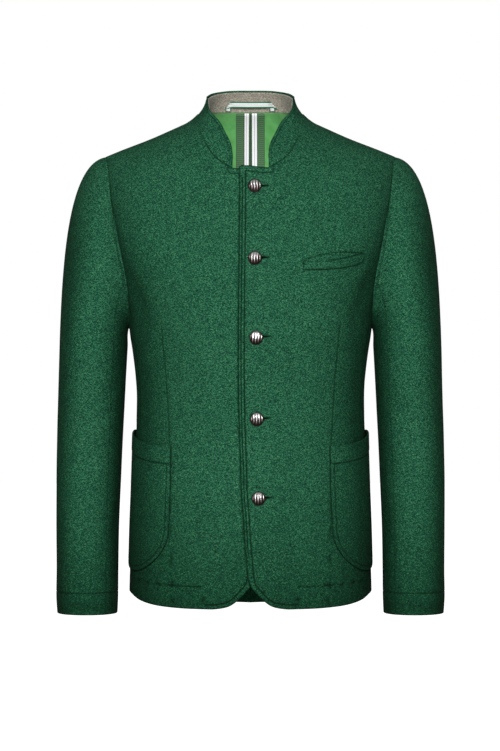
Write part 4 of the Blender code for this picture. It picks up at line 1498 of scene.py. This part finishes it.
def buttonholes(front_tree):
    """Each buttonhole's slit, a dark sheet of painted shade, and the purl stitches round it."""
    purls, slit_points, slit_faces = [], [], []
    bend = BUTTONHOLE - 0.5
    for x, z in BUTTONS:
        centre, across, up, _out = frame_at(x, z)
        centre = centre + up * 1.6 * MM
        lane = np.arange(PURL_START, bend, PURL_STEP)
        round_end = [(bend + math.sin(t), PURL_OFF * math.cos(t)) for t in np.linspace(0, math.pi, 7)]
        outline = [*((a, PURL_OFF) for a in lane), *round_end, *((a, -PURL_OFF) for a in lane[::-1])]
        base, half = len(slit_points), len(outline) // 2
        for a, b in outline:
            way = unit(np.array([max(a - bend, 0.0), b]))
            ends = ((a, b), (a, b) + PURL_LONG * way)
            first, last = (centre + (along * across + off * up) * MM for along, off in ends)
            purls.append(one_stitch(front_tree, first, last, 0.34, 0.42))
            lip = centre + (a * across + b * 0.9 * up) * MM
            hit, n, _index, _far = front_tree.find_nearest(Vector(lip))
            slit_points.append(np.array(hit) + 0.12 * MM * np.array(n))
        for i in range(half - 1):
            j = len(outline) - 1 - i
            slit_faces.append((base + i, base + j, base + j - 1, base + i + 1))
    sewn_row("buttonhole_threads", purls, HOLE_LOOK)
    # A dark sheet of painted shade over each slit
    new_mesh("buttonhole_slit_shade", slit_points, slit_faces, SLIT_SHADE_LOOK)


# Sewing


def inset(line, normals, inner, by):
    """A line moved in along the cloth, towards points that lie inside."""
    way = unit(np.cross(normals, np.gradient(line, axis=0)))
    towards = ((inner - line) * way).sum(-1, keepdims=True)
    return line + way * np.sign(towards) * np.asarray(by).reshape(-1, 1) * MM


def sew(fronts, pockets):
    """The stitches along the fronts' edges and hems and round the pockets."""
    stitches = []
    count = int((front_rows(front_lines()) <= EDGE_END).sum())
    for hand, (piece, p, n) in fronts.items():
        tree = tree_of(piece)
        edge = inset(p[:count, 0], n[:count, 0], p[:count, 6], second_line(p[:count, 0, 2] / MM))
        low = p[0, :, 0] < HEM_START * MM
        hem = inset(p[0, low], n[0, low], p[6, low], HEM_STITCH)
        stitches += row_along(edge * (hand, 1, 1), tree) + row_along(hem * (hand, 1, 1), tree)
    for hand, (piece, p) in pockets.items():
        outline, inner = (
            np.concatenate([p[::-1, k][40:], p[k, 1:], p[1:, -1 - k][:-40]]) for k in (0, 8)
        )
        path = outline + unit(inner - outline) * POCKET_LINE * MM
        stitches += row_along(path * (hand, 1, 1), tree_of(piece))
    sewn_row("edge_stitches", stitches, THREAD_LOOK)


# Studio

FRAME_HEIGHT = 751
MM_PER_PIXEL = 1.45
SENSOR = 36
CAMERA_AWAY = 4.0
CAMERA_ASIDE = -0.0007
CAMERA_HEIGHT = -0.375
FLOOR = -1.0
AMBIENT = 0.2
KEY_AT = (-0.15, -4.6, 1.0)
KEY_SIZE = (0.8, 3.0)
KEY_WATTS = 312
KEY_TOWARDS = (0, 0, -0.36)
WHITE = (1, 1, 1, 1)


def white_floor():
    """A floor that the camera sees as plain white."""
    mesh = bpy.data.meshes.new("floor")
    corners = [(-8, -8, FLOOR), (8, -8, FLOOR), (8, 12, FLOOR), (-8, 12, FLOOR)]
    mesh.from_pydata(corners, [], [(0, 1, 2, 3)])
    colours = {"Base_Color": (0.6, 0.6, 0.6, 1), "Emission_Color": WHITE}
    look, tree, shader = new_look("white_floor", Roughness=1.0, **colours)
    seen = put(tree, "LightPath").outputs["Is Camera Ray"]
    tree.links.new(seen, shader.inputs["Emission Strength"])
    mesh.materials.append(look)
    floor = linked("floor", mesh)


def white_surround():
    """White to the camera, and a faint light on the jacket."""
    world = bpy.data.worlds.new("studio")
    bpy.context.scene.world = world
    world.use_nodes = True
    tree = world.node_tree
    seen = put(tree, "LightPath").outputs["Is Camera Ray"]
    backdrop = tree.nodes["Background"]
    backdrop.inputs["Color"].default_value = WHITE
    tree.links.new(scaled(tree, seen, 1.0 - AMBIENT, AMBIENT), backdrop.inputs["Strength"])


def key_light():
    """One tall soft light in front."""
    light = bpy.data.lights.new("key", "AREA")
    light.shape = "RECTANGLE"
    light.size, light.size_y = KEY_SIZE
    light.energy = KEY_WATTS
    lamp = linked("key", light)
    lamp.location = KEY_AT
    lamp.rotation_euler = (Vector(KEY_TOWARDS) - Vector(KEY_AT)).to_track_quat("-Z", "Y").to_euler()


def front_camera():
    """The camera straight in front, as far as makes the jacket's pixels the size above."""
    camera = bpy.data.cameras.new("camera")
    camera.lens = SENSOR / (FRAME_HEIGHT * MM_PER_PIXEL) * CAMERA_AWAY / MM
    camera.clip_end = 100
    eye = linked("camera", camera)
    eye.location = (CAMERA_ASIDE, -CAMERA_AWAY, CAMERA_HEIGHT)
    eye.rotation_euler = (math.radians(90), 0, 0)
    bpy.context.scene.camera = eye


# The whole jacket

FRONT_EDGE_LINE = front_edge_line()
fronts = {hand: front(hand) for hand in SIDES}
for hand in SIDES:
    flank(hand)
    back(hand)
    sleeve_pieces(hand)
    lining(hand)
pockets = {hand: pocket(hand) for hand in SIDES}
welt()
loop(collar())
ribbon()
for k in range(len(BUTTONS)):
    button(k)
buttonholes(tree_of(fronts[1][0]))
sew(fronts, pockets)

bpy.context.scene.view_settings.view_transform = "Standard"
white_floor()
white_surround()
key_light()
front_camera()
